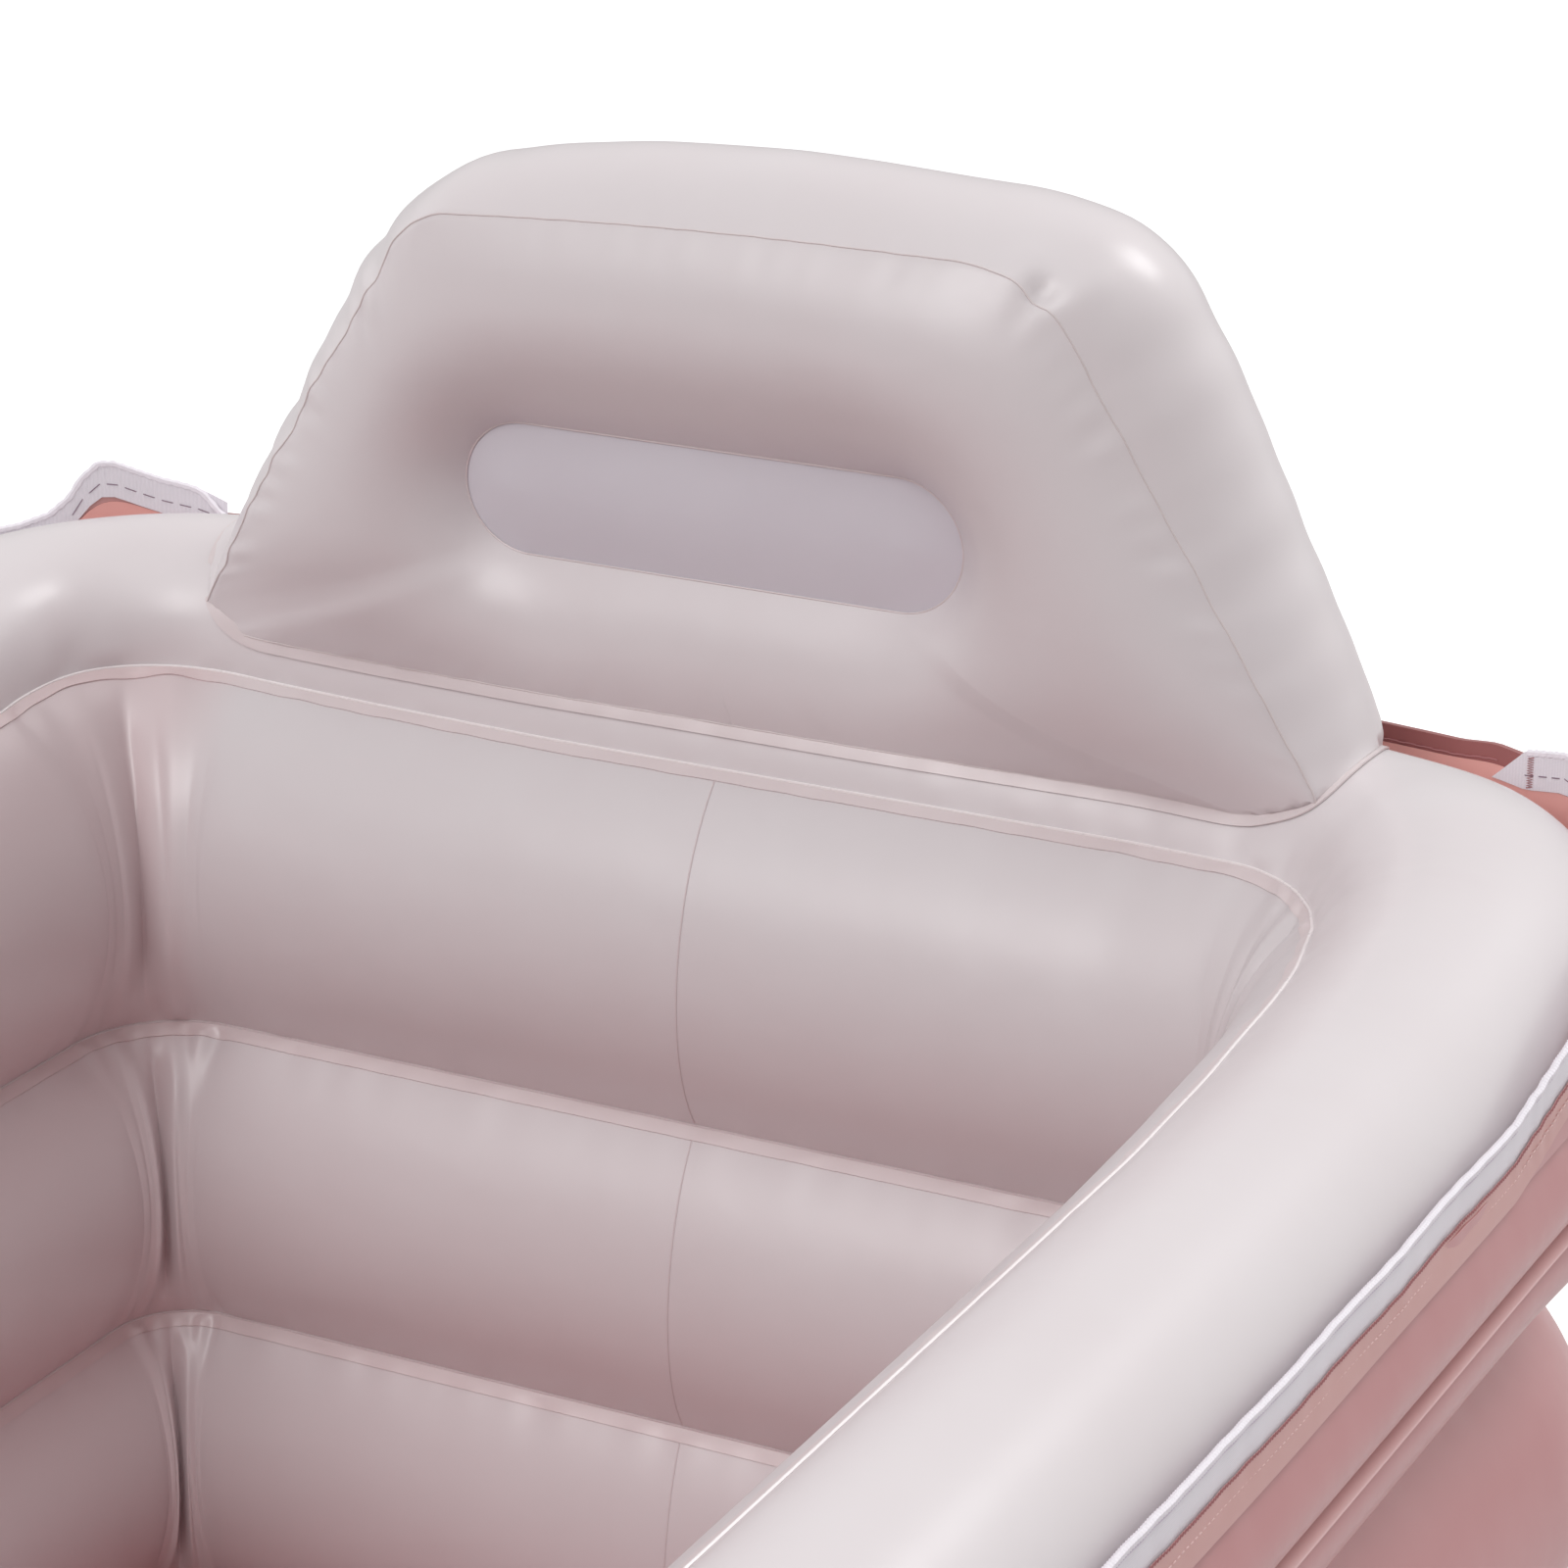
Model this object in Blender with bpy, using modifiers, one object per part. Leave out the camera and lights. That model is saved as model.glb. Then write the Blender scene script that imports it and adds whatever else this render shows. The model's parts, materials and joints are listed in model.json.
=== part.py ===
"""Inflatable bathtub: three welded air rings, an air headrest and one half of a zip.

Metres, +Z up, X across the tub, Y along it with the headrest at +Y.
The origin lies on the floor under the middle of the whole part.
Every wall is a sheet of PVC, and sheets that are welded together meet with a small gap.
"""

import math

import bmesh
import bpy

# Sheets and clearances
SHEET = 0.0005
GAP = 0.0003
OVERRUN = 0.02

# Plan of the inner rim seam, where the deck meets the inner wall
INNER_HALF_WIDTH = 0.297
INNER_HALF_LENGTH = 0.694
INNER_CORNER_RADIUS = 0.070
CORNER_STEPS = 6

# Heights of the three rings
BOTTOM_RING_HEIGHT = 0.132
MIDDLE_RING_HEIGHT = 0.132
TOP_RING_HEIGHT = 0.148

# How far the inner seams stand in from the rim seam, and the outer ones out from it
BASE_SEAM_INSET = 0.040
LOWER_SEAM_INSET = 0.035
UPPER_SEAM_INSET = 0.022
OUTER_SEAM_REACH = 0.063
RIM_WIDTH = 0.100
RIM_OUTER_DROP = 0.022

# How far each panel bulges from the chord between its seams. The walls have an odd number
# of steps, so that each valve sits on a flat strip at the middle of its wall.
INNER_BOTTOM_BULGE = 0.0225
INNER_MIDDLE_BULGE = 0.0255
INNER_TOP_BULGE = 0.033
OUTER_BULGE = 0.034
OUTER_TOP_BULGE = 0.020
DECK_BULGE = 0.0545
WALL_STEPS = 7
DECK_STEPS = 12

# Weld strips that stand out of the seams
INNER_WELD_WIDTH = 0.004
OUTER_WELD_WIDTH = 0.007

# Skirt round the rim and the half zip sewn to it
SKIRT_FOOT_DROP = 0.028
SKIRT_REAR_RISE = 0.036
TAPE_WIDTH = 0.016
TAPE_TOP_DROP = 0.002
TAPE_THICKNESS = 0.0006
TAPE_SEAM_OVERLAP = 0.005
COIL_RADIUS = 0.0009
COIL_SIDES = 6
ZIP_END_HALF_SPAN = 0.300
HEM_WIDTH = 0.014

# Headrest: a trapezoid cushion, measured above the rim seam
HEADREST_DEPTH = 0.085
HEADREST_CENTRE_INSET = 0.0475
HEADREST_HEIGHT = 0.226
HEADREST_FOOT_HALF_WIDTH = 0.2700
HEADREST_TOP_HALF_WIDTH = 0.136
HEADREST_CORNER_RADIUS = 0.030
HEADREST_FOOT_RISE = 0.004
HEADREST_LEAN = math.radians(4.0)
GUSSET_BULGE = 0.027
GUSSET_STEPS = 8
PANEL_CROWN = 0.013
FOOT_PATCH_HALF_WIDTH = 0.283
PATCH_FRONT_STEPS = 1
PATCH_REAR_STEPS = 3

# Stadium recess in the headrest
RECESS_HEIGHT_SHARE = 0.46
RECESS_HALF_LENGTH = 0.112
RECESS_HALF_HEIGHT = 0.0275
RECESS_DEPTH = 0.016
RECESS_LIP_POWER = 9
PANEL_RING_SHARES = (0.0, 0.05, 0.12, 0.25, 0.5, 0.75, 1.0)
SIDE_STEPS = 5
ARC_STEPS = 4
LONG_STEPS = 8

# Air valves
VALVE_ACROSS = 0.160
VALVE_FLANGE_RADIUS = 0.0245
VALVE_FLANGE_THICKNESS = 0.0010
VALVE_NECK_RADIUS = 0.0120
VALVE_BORE_RADIUS = 0.0095
VALVE_NECK_HEIGHT = 0.0060
VALVE_NECK_INSIDE = 0.0080
SEAT_THICKNESS = 0.0015
SEAT_PORT_RADIUS = 0.0024
SEAT_PORT_CIRCLE_RADIUS = 0.0058
SEAT_PORT_COUNT = 5
STEM_RADIUS = 0.0012
STEM_HEAD_RADIUS = 0.0022
FLAP_THICKNESS = 0.0006
ROUND_SIDES = 24
SMALL_SIDES = 10

# Floor drain
DRAIN_FROM_FOOT_SEAM = 0.150
DRAIN_FLANGE_RADIUS = 0.034
DRAIN_NECK_RADIUS = 0.0190
DRAIN_BORE_RADIUS = 0.0150
DRAIN_NECK_HEIGHT = 0.0070

# Moulded caps on their straps
CAP_CLEARANCE = 0.0004
CAP_WALL = 0.0015
CAP_FOOT_GAP = 0.0006
STRAP_REACH = 0.0060
STRAP_WIDTH = 0.0070
STRAP_HALF_THICKNESS = 0.0009
FINGER_TAB_REACH = 0.0060

# Places worked out from the sizes above
FLOOR_SEAM_Z = SHEET
LOWER_SEAM_Z = FLOOR_SEAM_Z + BOTTOM_RING_HEIGHT
UPPER_SEAM_Z = LOWER_SEAM_Z + MIDDLE_RING_HEIGHT
RIM_SEAM_Z = UPPER_SEAM_Z + TOP_RING_HEIGHT
CAP_TOP_HEIGHT = VALVE_NECK_HEIGHT + CAP_CLEARANCE + CAP_WALL
CENTRE_Y = CAP_TOP_HEIGHT / 2
SEAM_MARGIN = SHEET / 2 + GAP
RECESS_CENTRE_HEIGHT = RECESS_HEIGHT_SHARE * HEADREST_HEIGHT


class Arc:
    """A circular arc from start to end that bulges to the left of the way it runs."""

    def __init__(self, start, end, bulge, steps):
        run = (end[0] - start[0], end[1] - start[1])
        chord = math.hypot(*run)
        half = chord / 2
        self.along = (run[0] / chord, run[1] / chord)
        self.out = (-self.along[1], self.along[0])
        self.radius = (half**2 + bulge**2) / (2 * bulge)
        self.sweep = 2 * math.atan(bulge / half)
        lift = bulge - self.radius
        self.centre = (
            (start[0] + end[0]) / 2 + self.out[0] * lift,
            (start[1] + end[1]) / 2 + self.out[1] * lift,
        )
        self.steps = steps

    def points(self, rise, skip_start=0, skip_end=0):
        """Points on the arc, rise outside its radius, without the first and last few steps."""
        found = []
        for step in range(skip_start, self.steps + 1 - skip_end):
            turn = self.sweep * (2 * step / self.steps - 1)
            across = (self.radius + rise) * math.sin(turn)
            up = (self.radius + rise) * math.cos(turn)
            found.append(
                (
                    self.centre[0] + self.along[0] * across + self.out[0] * up,
                    self.centre[1] + self.along[1] * across + self.out[1] * up,
                )
            )
        return found

    def sheet(self, low, high, skip_start=0, skip_end=0):
        """Closed outline of a sheet that follows the arc between two rises."""
        upper = self.points(high, skip_start, skip_end)
        lower = self.points(low, skip_start, skip_end)
        return upper + lower[::-1]

    def reach(self):
        """Farthest the arc gets across, where its wall stands upright."""
        return self.centre[0] + self.radius


# Sections of the panels: across from the rim seam outwards, and up from the floor
DECK_ARC = Arc(
    (0, RIM_SEAM_Z + GAP),
    (RIM_WIDTH, RIM_SEAM_Z - RIM_OUTER_DROP),
    DECK_BULGE,
    DECK_STEPS,
)
INNER_ARCS = {
    "bottom": Arc(
        (-BASE_SEAM_INSET, FLOOR_SEAM_Z + GAP),
        (-LOWER_SEAM_INSET, LOWER_SEAM_Z - SEAM_MARGIN),
        INNER_BOTTOM_BULGE,
        WALL_STEPS,
    ),
    "middle": Arc(
        (-LOWER_SEAM_INSET, LOWER_SEAM_Z + SEAM_MARGIN),
        (-UPPER_SEAM_INSET, UPPER_SEAM_Z - SEAM_MARGIN),
        INNER_MIDDLE_BULGE,
        WALL_STEPS,
    ),
    "top": Arc(
        (-UPPER_SEAM_INSET, UPPER_SEAM_Z + SEAM_MARGIN),
        (0, RIM_SEAM_Z),
        INNER_TOP_BULGE,
        WALL_STEPS,
    ),
}
OUTER_ARCS = {
    "lower": Arc(
        (OUTER_SEAM_REACH, LOWER_SEAM_Z - SEAM_MARGIN),
        (OUTER_SEAM_REACH, FLOOR_SEAM_Z + GAP),
        OUTER_BULGE,
        WALL_STEPS,
    ),
    "middle": Arc(
        (OUTER_SEAM_REACH, UPPER_SEAM_Z - SEAM_MARGIN),
        (OUTER_SEAM_REACH, LOWER_SEAM_Z + SEAM_MARGIN),
        OUTER_BULGE,
        WALL_STEPS,
    ),
    "upper": Arc(
        (RIM_WIDTH, RIM_SEAM_Z - RIM_OUTER_DROP - GAP),
        (OUTER_SEAM_REACH, UPPER_SEAM_Z + SEAM_MARGIN),
        OUTER_TOP_BULGE,
        WALL_STEPS,
    ),
}

for old in list(bpy.data.objects):
    bpy.data.objects.remove(old)

TUB = bpy.data.collections.new("inflatable_bathtub")
CUTTERS = bpy.data.collections.new("cutters")
bpy.context.scene.collection.children.link(TUB)
bpy.context.scene.collection.children.link(CUTTERS)


def pvc(name, colour, roughness):
    """A welded PVC finish."""
    finish = bpy.data.materials.new(name)
    finish.use_nodes = True
    shader = finish.node_tree.nodes["Principled BSDF"]
    shader.inputs["Base Color"].default_value = (*colour, 1.0)
    shader.inputs["Roughness"].default_value = roughness
    shader.inputs["Metallic"].default_value = 0.0
    return finish


PALE = pvc("pearl_pvc", (0.66, 0.58, 0.58), 0.35)
PINK = pvc("pink_pvc", (0.50, 0.28, 0.28), 0.35)
HEM = pvc("hem_pvc", (0.36, 0.13, 0.13), 0.45)
WHITE = pvc("zip_polyester", (0.75, 0.68, 0.76), 0.7)
MOULDED = pvc("moulded_pvc", (0.70, 0.63, 0.64), 0.4)
RUBBER = pvc("flap_rubber", (0.10, 0.10, 0.11), 0.6)


def finish_object(piece, material):
    """Give a piece its material and put it in the tub's collection."""
    piece.data.materials.clear()
    piece.data.materials.append(material)
    for holder in list(piece.users_collection):
        holder.objects.unlink(piece)
    TUB.objects.link(piece)
    return piece


def as_cutter(piece):
    """Keep a shape for cutting alone."""
    piece.hide_render = True
    piece.display_type = "WIRE"
    for holder in list(piece.users_collection):
        holder.objects.unlink(piece)
    CUTTERS.objects.link(piece)
    return piece


def close_and_orient(mesh):
    """Weld a mesh's loose points and turn its faces outwards."""
    shape = bmesh.new()
    shape.from_mesh(mesh)
    bmesh.ops.remove_doubles(shape, verts=shape.verts, dist=GAP / 100)
    bmesh.ops.recalc_face_normals(shape, faces=shape.faces)
    shape.to_mesh(mesh)
    shape.free()


def mesh_from(curve_object, name):
    """Turn a curve object into a closed mesh object and remove the curve."""
    graph = bpy.context.evaluated_depsgraph_get()
    mesh = bpy.data.meshes.new_from_object(curve_object.evaluated_get(graph))
    mesh.name = name
    close_and_orient(mesh)
    placed = curve_object.matrix_world.copy()
    bpy.data.objects.remove(curve_object)
    piece = bpy.data.objects.new(name, mesh)
    piece.matrix_world = placed
    TUB.objects.link(piece)
    return piece


def line(name, outlines, cyclic, dimensions):
    """A curve object of straight runs through each outline's points."""
    data = bpy.data.curves.new(name, "CURVE")
    data.dimensions = dimensions
    data.render_resolution_u = 0
    for outline in outlines:
        spline = data.splines.new("POLY")
        spline.points.add(len(outline) - 1)
        for point, place in zip(spline.points, outline):
            point.co = (*place, 0, 1) if len(place) == 2 else (*place, 1)
        spline.use_cyclic_u = cyclic
    holder = bpy.data.objects.new(name, data)
    bpy.context.scene.collection.objects.link(holder)
    return holder


def swept(name, profile, path, material, closed=True):
    """A closed profile swept along a path, level with the floor where the path is closed."""
    section = line(name + "_section", [profile], True, "2D")
    way = line(name + "_way", [path], closed, "3D")
    way.data.bevel_mode = "OBJECT"
    way.data.bevel_object = section
    way.data.fill_mode = "FULL"
    way.data.use_fill_caps = True
    way.data.twist_mode = "Z_UP" if closed else "MINIMUM"
    piece = mesh_from(way, name)
    bpy.data.objects.remove(section)
    return finish_object(piece, material)


def plate(name, outlines, low, thickness, material):
    """A flat plate with its outer outline first and its holes after."""
    flat = line(name + "_outline", outlines, True, "2D")
    flat.data.fill_mode = "BOTH"
    flat.data.extrude = thickness / 2
    flat.location.z = low + thickness / 2
    bpy.context.view_layer.update()
    return finish_object(mesh_from(flat, name), material)


def rim_outline(offset):
    """Rounded rectangle that stands offset outside the inner rim seam."""
    radius = INNER_CORNER_RADIUS + offset
    across = INNER_HALF_WIDTH - INNER_CORNER_RADIUS
    along = INNER_HALF_LENGTH - INNER_CORNER_RADIUS
    found = []
    for side_x, side_y, start in ((1, -1, -90), (1, 1, 0), (-1, 1, 90), (-1, -1, 180)):
        for step in range(CORNER_STEPS + 1):
            turn = math.radians(start + 90 * step / CORNER_STEPS)
            found.append(
                (
                    side_x * across + radius * math.cos(turn),
                    CENTRE_Y + side_y * along + radius * math.sin(turn),
                )
            )
    return found


def circle(centre, radius, sides=ROUND_SIDES):
    """Points round a circle."""
    turns = [math.tau * step / sides for step in range(sides)]
    return [(centre[0] + radius * math.cos(t), centre[1] + radius * math.sin(t)) for t in turns]


def ring_panel(name, profile, material):
    """A panel that runs right round the tub."""
    return swept(name, profile, rim_outline(0), material)


def drum(name, radius, low, high, sides=ROUND_SIDES):
    """A round bar along its own Z."""
    bpy.ops.mesh.primitive_cylinder_add(vertices=sides, radius=radius, depth=high - low)
    bar = bpy.context.object
    bar.name = name
    for vertex in bar.data.vertices:
        vertex.co.z += (high + low) / 2
    return bar


def block(name, low, high):
    """A box between two corners."""
    bpy.ops.mesh.primitive_cube_add(size=1)
    box = bpy.context.object
    box.name = name
    for vertex in box.data.vertices:
        vertex.co = [(a + b) / 2 + c * (b - a) for a, b, c in zip(low, high, vertex.co)]
    return box


def boolean(piece, other, operation):
    """Cut or join a piece with another, which stays as a cutter."""
    step = piece.modifiers.new(operation.lower(), "BOOLEAN")
    step.operation = operation
    step.solver = "EXACT"
    step.object = as_cutter(other)
    return piece


def turned(name, profile, sides=ROUND_SIDES, closed=False):
    """A profile of radius and height turned round Z, from axis to axis or closed on itself."""
    data = bpy.data.meshes.new(name)
    edges = [(k, k + 1) for k in range(len(profile) - 1)]
    if closed:
        edges.append((len(profile) - 1, 0))
    data.from_pydata([(radius, 0, height) for radius, height in profile], edges, [])
    piece = bpy.data.objects.new(name, data)
    TUB.objects.link(piece)
    screw = piece.modifiers.new("turn", "SCREW")
    screw.steps = sides
    screw.render_steps = sides
    screw.use_merge_vertices = True
    screw.merge_threshold = GAP / 10
    return piece


def build_walls():
    """Base sheet, wall panels, partitions and deck."""
    drain_place = (0, CENTRE_Y - INNER_HALF_LENGTH + DRAIN_FROM_FOOT_SEAM)
    plate(
        "base_sheet",
        [rim_outline(OUTER_SEAM_REACH + OUTER_WELD_WIDTH), circle(drain_place, DRAIN_BORE_RADIUS)],
        0,
        SHEET,
        PINK,
    )
    for level, seam_z, inset in (
        ("lower", LOWER_SEAM_Z, LOWER_SEAM_INSET),
        ("upper", UPPER_SEAM_Z, UPPER_SEAM_INSET),
    ):
        outlines = [
            rim_outline(OUTER_SEAM_REACH + OUTER_WELD_WIDTH),
            rim_outline(-inset - INNER_WELD_WIDTH),
        ]
        plate("partition_" + level, outlines, seam_z - SHEET / 2, SHEET, PALE)
    for level, arc in INNER_ARCS.items():
        ring_panel("inner_wall_" + level, arc.sheet(-SHEET, 0), PALE)
    for level, arc in OUTER_ARCS.items():
        ring_panel("outer_wall_" + level, arc.sheet(-SHEET, 0), PINK)
    ring_panel("deck_panel", DECK_ARC.sheet(-SHEET, 0), PALE)


def band(low, high, inner, thickness):
    """Upright strip section with its inner face at a given reach."""
    outer = inner + thickness
    return [(inner, low), (inner, high), (outer, high), (outer, low)]


def lift_rear(piece, reach, foot_z, share_of_height):
    """Raise a strip towards the rear end, either whole or more towards its top."""
    corner_y = CENTRE_Y + INNER_HALF_LENGTH - INNER_CORNER_RADIUS
    top_z = max(vertex.co.z for vertex in piece.data.vertices)
    for vertex in piece.data.vertices:
        turn = min(max((vertex.co.y - corner_y) / (INNER_CORNER_RADIUS + reach), 0), 1)
        eased = turn * turn * (3 - 2 * turn)
        height = (vertex.co.z - foot_z) / (top_z - foot_z) if share_of_height else 1
        vertex.co.z += SKIRT_REAR_RISE * eased * height


def rear_block(name, half_span):
    """Box over the rear rim between two ends."""
    rear_y = CENTRE_Y + INNER_HALF_LENGTH
    return block(
        name,
        (-half_span, rear_y - INNER_CORNER_RADIUS, RIM_SEAM_Z - HEADREST_HEIGHT),
        (half_span, rear_y + RIM_WIDTH + OVERRUN, RIM_SEAM_Z + HEADREST_HEIGHT),
    )


def build_skirt():
    """Skirt, its plain hem behind the headrest, and the half zip round the rest."""
    tape_top = RIM_SEAM_Z - TAPE_TOP_DROP
    tape_low = tape_top - TAPE_WIDTH
    skirt_low = RIM_SEAM_Z - SKIRT_FOOT_DROP
    skirt_top = tape_low + TAPE_SEAM_OVERLAP
    tape_inner = DECK_ARC.reach() + GAP
    skirt_inner = tape_inner + TAPE_THICKNESS + GAP
    skirt = ring_panel("skirt_band", band(skirt_low, skirt_top, skirt_inner, SHEET), PINK)
    lift_rear(skirt, skirt_inner, skirt_low, True)
    hem = ring_panel("rear_hem", band(tape_top - HEM_WIDTH, tape_top, tape_inner, TAPE_THICKNESS), HEM)
    lift_rear(hem, tape_inner, tape_low, False)
    boolean(hem, rear_block("hem_span", ZIP_END_HALF_SPAN - GAP), "INTERSECT")
    tape = ring_panel("zip_tape", band(tape_low, tape_top, tape_inner, TAPE_THICKNESS), WHITE)
    lift_rear(tape, tape_inner, tape_low, False)
    boolean(tape, rear_block("tape_span", ZIP_END_HALF_SPAN), "DIFFERENCE")
    coil_centre = (tape_inner + TAPE_THICKNESS / 2, tape_top + GAP + COIL_RADIUS)
    coil = ring_panel("zip_coil", circle(coil_centre, COIL_RADIUS, COIL_SIDES), WHITE)
    lift_rear(coil, tape_inner, tape_low, False)
    boolean(coil, rear_block("coil_span", ZIP_END_HALF_SPAN), "DIFFERENCE")


def corner_arc(centre, radius, start, end):
    """Points of a corner arc between two angles in degrees."""
    turns = [math.radians(start + (end - start) * step / ARC_STEPS) for step in range(ARC_STEPS + 1)]
    return [(centre[0] + radius * math.cos(t), centre[1] + radius * math.sin(t)) for t in turns]


def between(start, end, steps):
    """Points from start up to, but without, end."""
    shares = [step / steps for step in range(steps)]
    return [tuple(a + (b - a) * share for a, b in zip(start, end)) for share in shares]


def headrest_corner():
    """Centre of the right top corner's arc, and the angle in degrees where the arc starts."""
    rise = HEADREST_HEIGHT - HEADREST_FOOT_RISE
    run = HEADREST_FOOT_HALF_WIDTH - HEADREST_TOP_HALF_WIDTH
    slope = math.atan2(rise, run)
    setback = HEADREST_CORNER_RADIUS * math.tan(slope / 2)
    centre = (HEADREST_TOP_HALF_WIDTH - setback, HEADREST_HEIGHT - HEADREST_CORNER_RADIUS)
    return centre, 90 - math.degrees(slope)


def headrest_outline():
    """Headrest outline in X and height, anticlockwise from its lower left foot."""
    foot = (HEADREST_FOOT_HALF_WIDTH, HEADREST_FOOT_RISE)
    centre, start = headrest_corner()
    right_arc = corner_arc(centre, HEADREST_CORNER_RADIUS, start, 90)
    left_arc = [(-x, z) for x, z in right_arc[::-1]]
    found = between((-foot[0], foot[1]), foot, LONG_STEPS)
    found += between(foot, right_arc[0], SIDE_STEPS)
    found += right_arc[:-1]
    found += between(right_arc[-1], left_arc[0], LONG_STEPS)
    found += left_arc[:-1]
    found += between(left_arc[-1], (-foot[0], foot[1]), SIDE_STEPS)
    return found


def half_round(centre_x, start, steps):
    """Points round one end of the recess, up to but without the last."""
    turns = [start + math.pi * step / steps for step in range(steps)]
    return [
        (
            centre_x + RECESS_HALF_HEIGHT * math.cos(turn),
            RECESS_CENTRE_HEIGHT + RECESS_HALF_HEIGHT * math.sin(turn),
        )
        for turn in turns
    ]


def recess_outline():
    """Stadium outline of the recess, point for point with the headrest's outline."""
    half_run = RECESS_HALF_LENGTH - RECESS_HALF_HEIGHT
    low = RECESS_CENTRE_HEIGHT - RECESS_HALF_HEIGHT
    high = RECESS_CENTRE_HEIGHT + RECESS_HALF_HEIGHT
    round_steps = SIDE_STEPS + ARC_STEPS
    found = between((-half_run, low), (half_run, low), LONG_STEPS)
    found += half_round(half_run, -math.pi / 2, round_steps)
    found += between((half_run, high), (-half_run, high), LONG_STEPS)
    found += half_round(-half_run, math.pi / 2, round_steps)
    return found


def stadium(half_length, half_height):
    """Stadium of another size round the recess's centre."""
    half_run = half_length - half_height
    found = []
    for centre_x, start in ((half_run, -90), (-half_run, 90)):
        for step in range(ROUND_SIDES // 2 + 1):
            turn = math.radians(start + 360 * step / ROUND_SIDES)
            found.append(
                (
                    centre_x + half_height * math.cos(turn),
                    RECESS_CENTRE_HEIGHT + half_height * math.sin(turn),
                )
            )
    return found


def panel_depth(share):
    """How far a headrest panel stands out, from its recess (0) to its seam (1)."""
    crown = PANEL_CROWN * math.sin(math.pi * share)
    return crown - RECESS_DEPTH * (1 - share) ** RECESS_LIP_POWER


def bulged_sheet(name, facing, rise, thickness, material):
    """Open loft from the recess to the headrest's seam, thickened to a sheet."""
    inner = recess_outline()
    outer = headrest_outline()
    count = len(outer)
    seam_y = HEADREST_DEPTH / 2
    shape = bmesh.new()
    rings = []
    for share in PANEL_RING_SHARES:
        depth = seam_y + panel_depth(share) + rise
        ring = []
        for near, far in zip(inner, outer):
            across = near[0] + (far[0] - near[0]) * share
            up = near[1] + (far[1] - near[1]) * share
            ring.append(shape.verts.new((across, facing * depth, up)))
        rings.append(ring)
    for ring, wider in zip(rings, rings[1:]):
        for k in range(count):
            after = (k + 1) % count
            quad = (ring[k], wider[k], wider[after], ring[after])
            shape.faces.new(quad if facing < 0 else quad[::-1])
    data = bpy.data.meshes.new(name)
    shape.to_mesh(data)
    shape.free()
    piece = bpy.data.objects.new(name, data)
    TUB.objects.link(piece)
    finish_object(piece, material)
    shell = piece.modifiers.new("sheet", "SOLIDIFY")
    shell.thickness = thickness
    shell.offset = -1
    return piece


def headrest_holder():
    """Empty at the middle of the rear rim that carries the leaning headrest."""
    holder = bpy.data.objects.new("headrest_place", None)
    holder.location = (0, CENTRE_Y + INNER_HALF_LENGTH + HEADREST_CENTRE_INSET, RIM_SEAM_Z)
    holder.rotation_euler.x = HEADREST_LEAN
    TUB.objects.link(holder)
    return holder


def upright(name, outlines, near, far, material):
    """A plate of a drawn outline, set up across the headrest between two depths."""
    piece = plate(name, outlines, near, far - near, material)
    for vertex in piece.data.vertices:
        across, up, depth = vertex.co.x, vertex.co.y, vertex.co.z
        vertex.co = (across, depth + piece.location.z, up)
    piece.location.z = 0
    close_and_orient(piece.data)
    return piece


def build_headrest(holder):
    """Patch, panels, gusset, recess floors and the inner tie."""
    patch_profile = DECK_ARC.sheet(GAP, GAP + SHEET, PATCH_FRONT_STEPS, PATCH_REAR_STEPS)
    patch = ring_panel("headrest_base", patch_profile, PALE)
    boolean(patch, rear_block("patch_span", FOOT_PATCH_HALF_WIDTH), "INTERSECT")
    seam_y = HEADREST_DEPTH / 2
    front = bulged_sheet("headrest_front", -1, 0, SHEET, PALE)
    rear = bulged_sheet("headrest_rear", 1, 0, SHEET, PALE)
    edge_y = seam_y - SHEET - GAP
    gusset_arc = Arc((-edge_y, 0), (edge_y, 0), GUSSET_BULGE, GUSSET_STEPS)
    outline = headrest_outline()
    arch = [(x, 0, z) for x, z in outline[LONG_STEPS:] + outline[:1]]
    gusset = swept("headrest_gusset", gusset_arc.sheet(-SHEET, 0), arch, PALE, closed=False)
    cutter = ring_panel("rim_clearance", DECK_ARC.points(GAP + SHEET + GAP), PALE)
    for piece in (front, rear, gusset):
        piece.parent = holder
        boolean(piece, cutter, "DIFFERENCE")
    floor_y = seam_y - RECESS_DEPTH
    lip = GAP + SHEET
    floor_outline = stadium(RECESS_HALF_LENGTH - lip, RECESS_HALF_HEIGHT - lip)
    tie_outlines = [
        stadium(RECESS_HALF_LENGTH, RECESS_HALF_HEIGHT),
        stadium(RECESS_HALF_LENGTH - SHEET, RECESS_HALF_HEIGHT - SHEET),
    ]
    tie_y = floor_y - SHEET - GAP
    made = [
        upright("recess_front", [floor_outline], -floor_y, -floor_y + SHEET, PALE),
        upright("recess_rear", [floor_outline], floor_y - SHEET, floor_y, PALE),
        upright("headrest_tie", tie_outlines, -tie_y, tie_y, PALE),
    ]
    for piece in made:
        piece.parent = holder


def applied(piece):
    """Keep a piece's evaluated shape and drop its modifiers."""
    graph = bpy.context.evaluated_depsgraph_get()
    mesh = bpy.data.meshes.new_from_object(piece.evaluated_get(graph))
    piece.modifiers.clear()
    piece.data = mesh
    return piece


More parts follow.
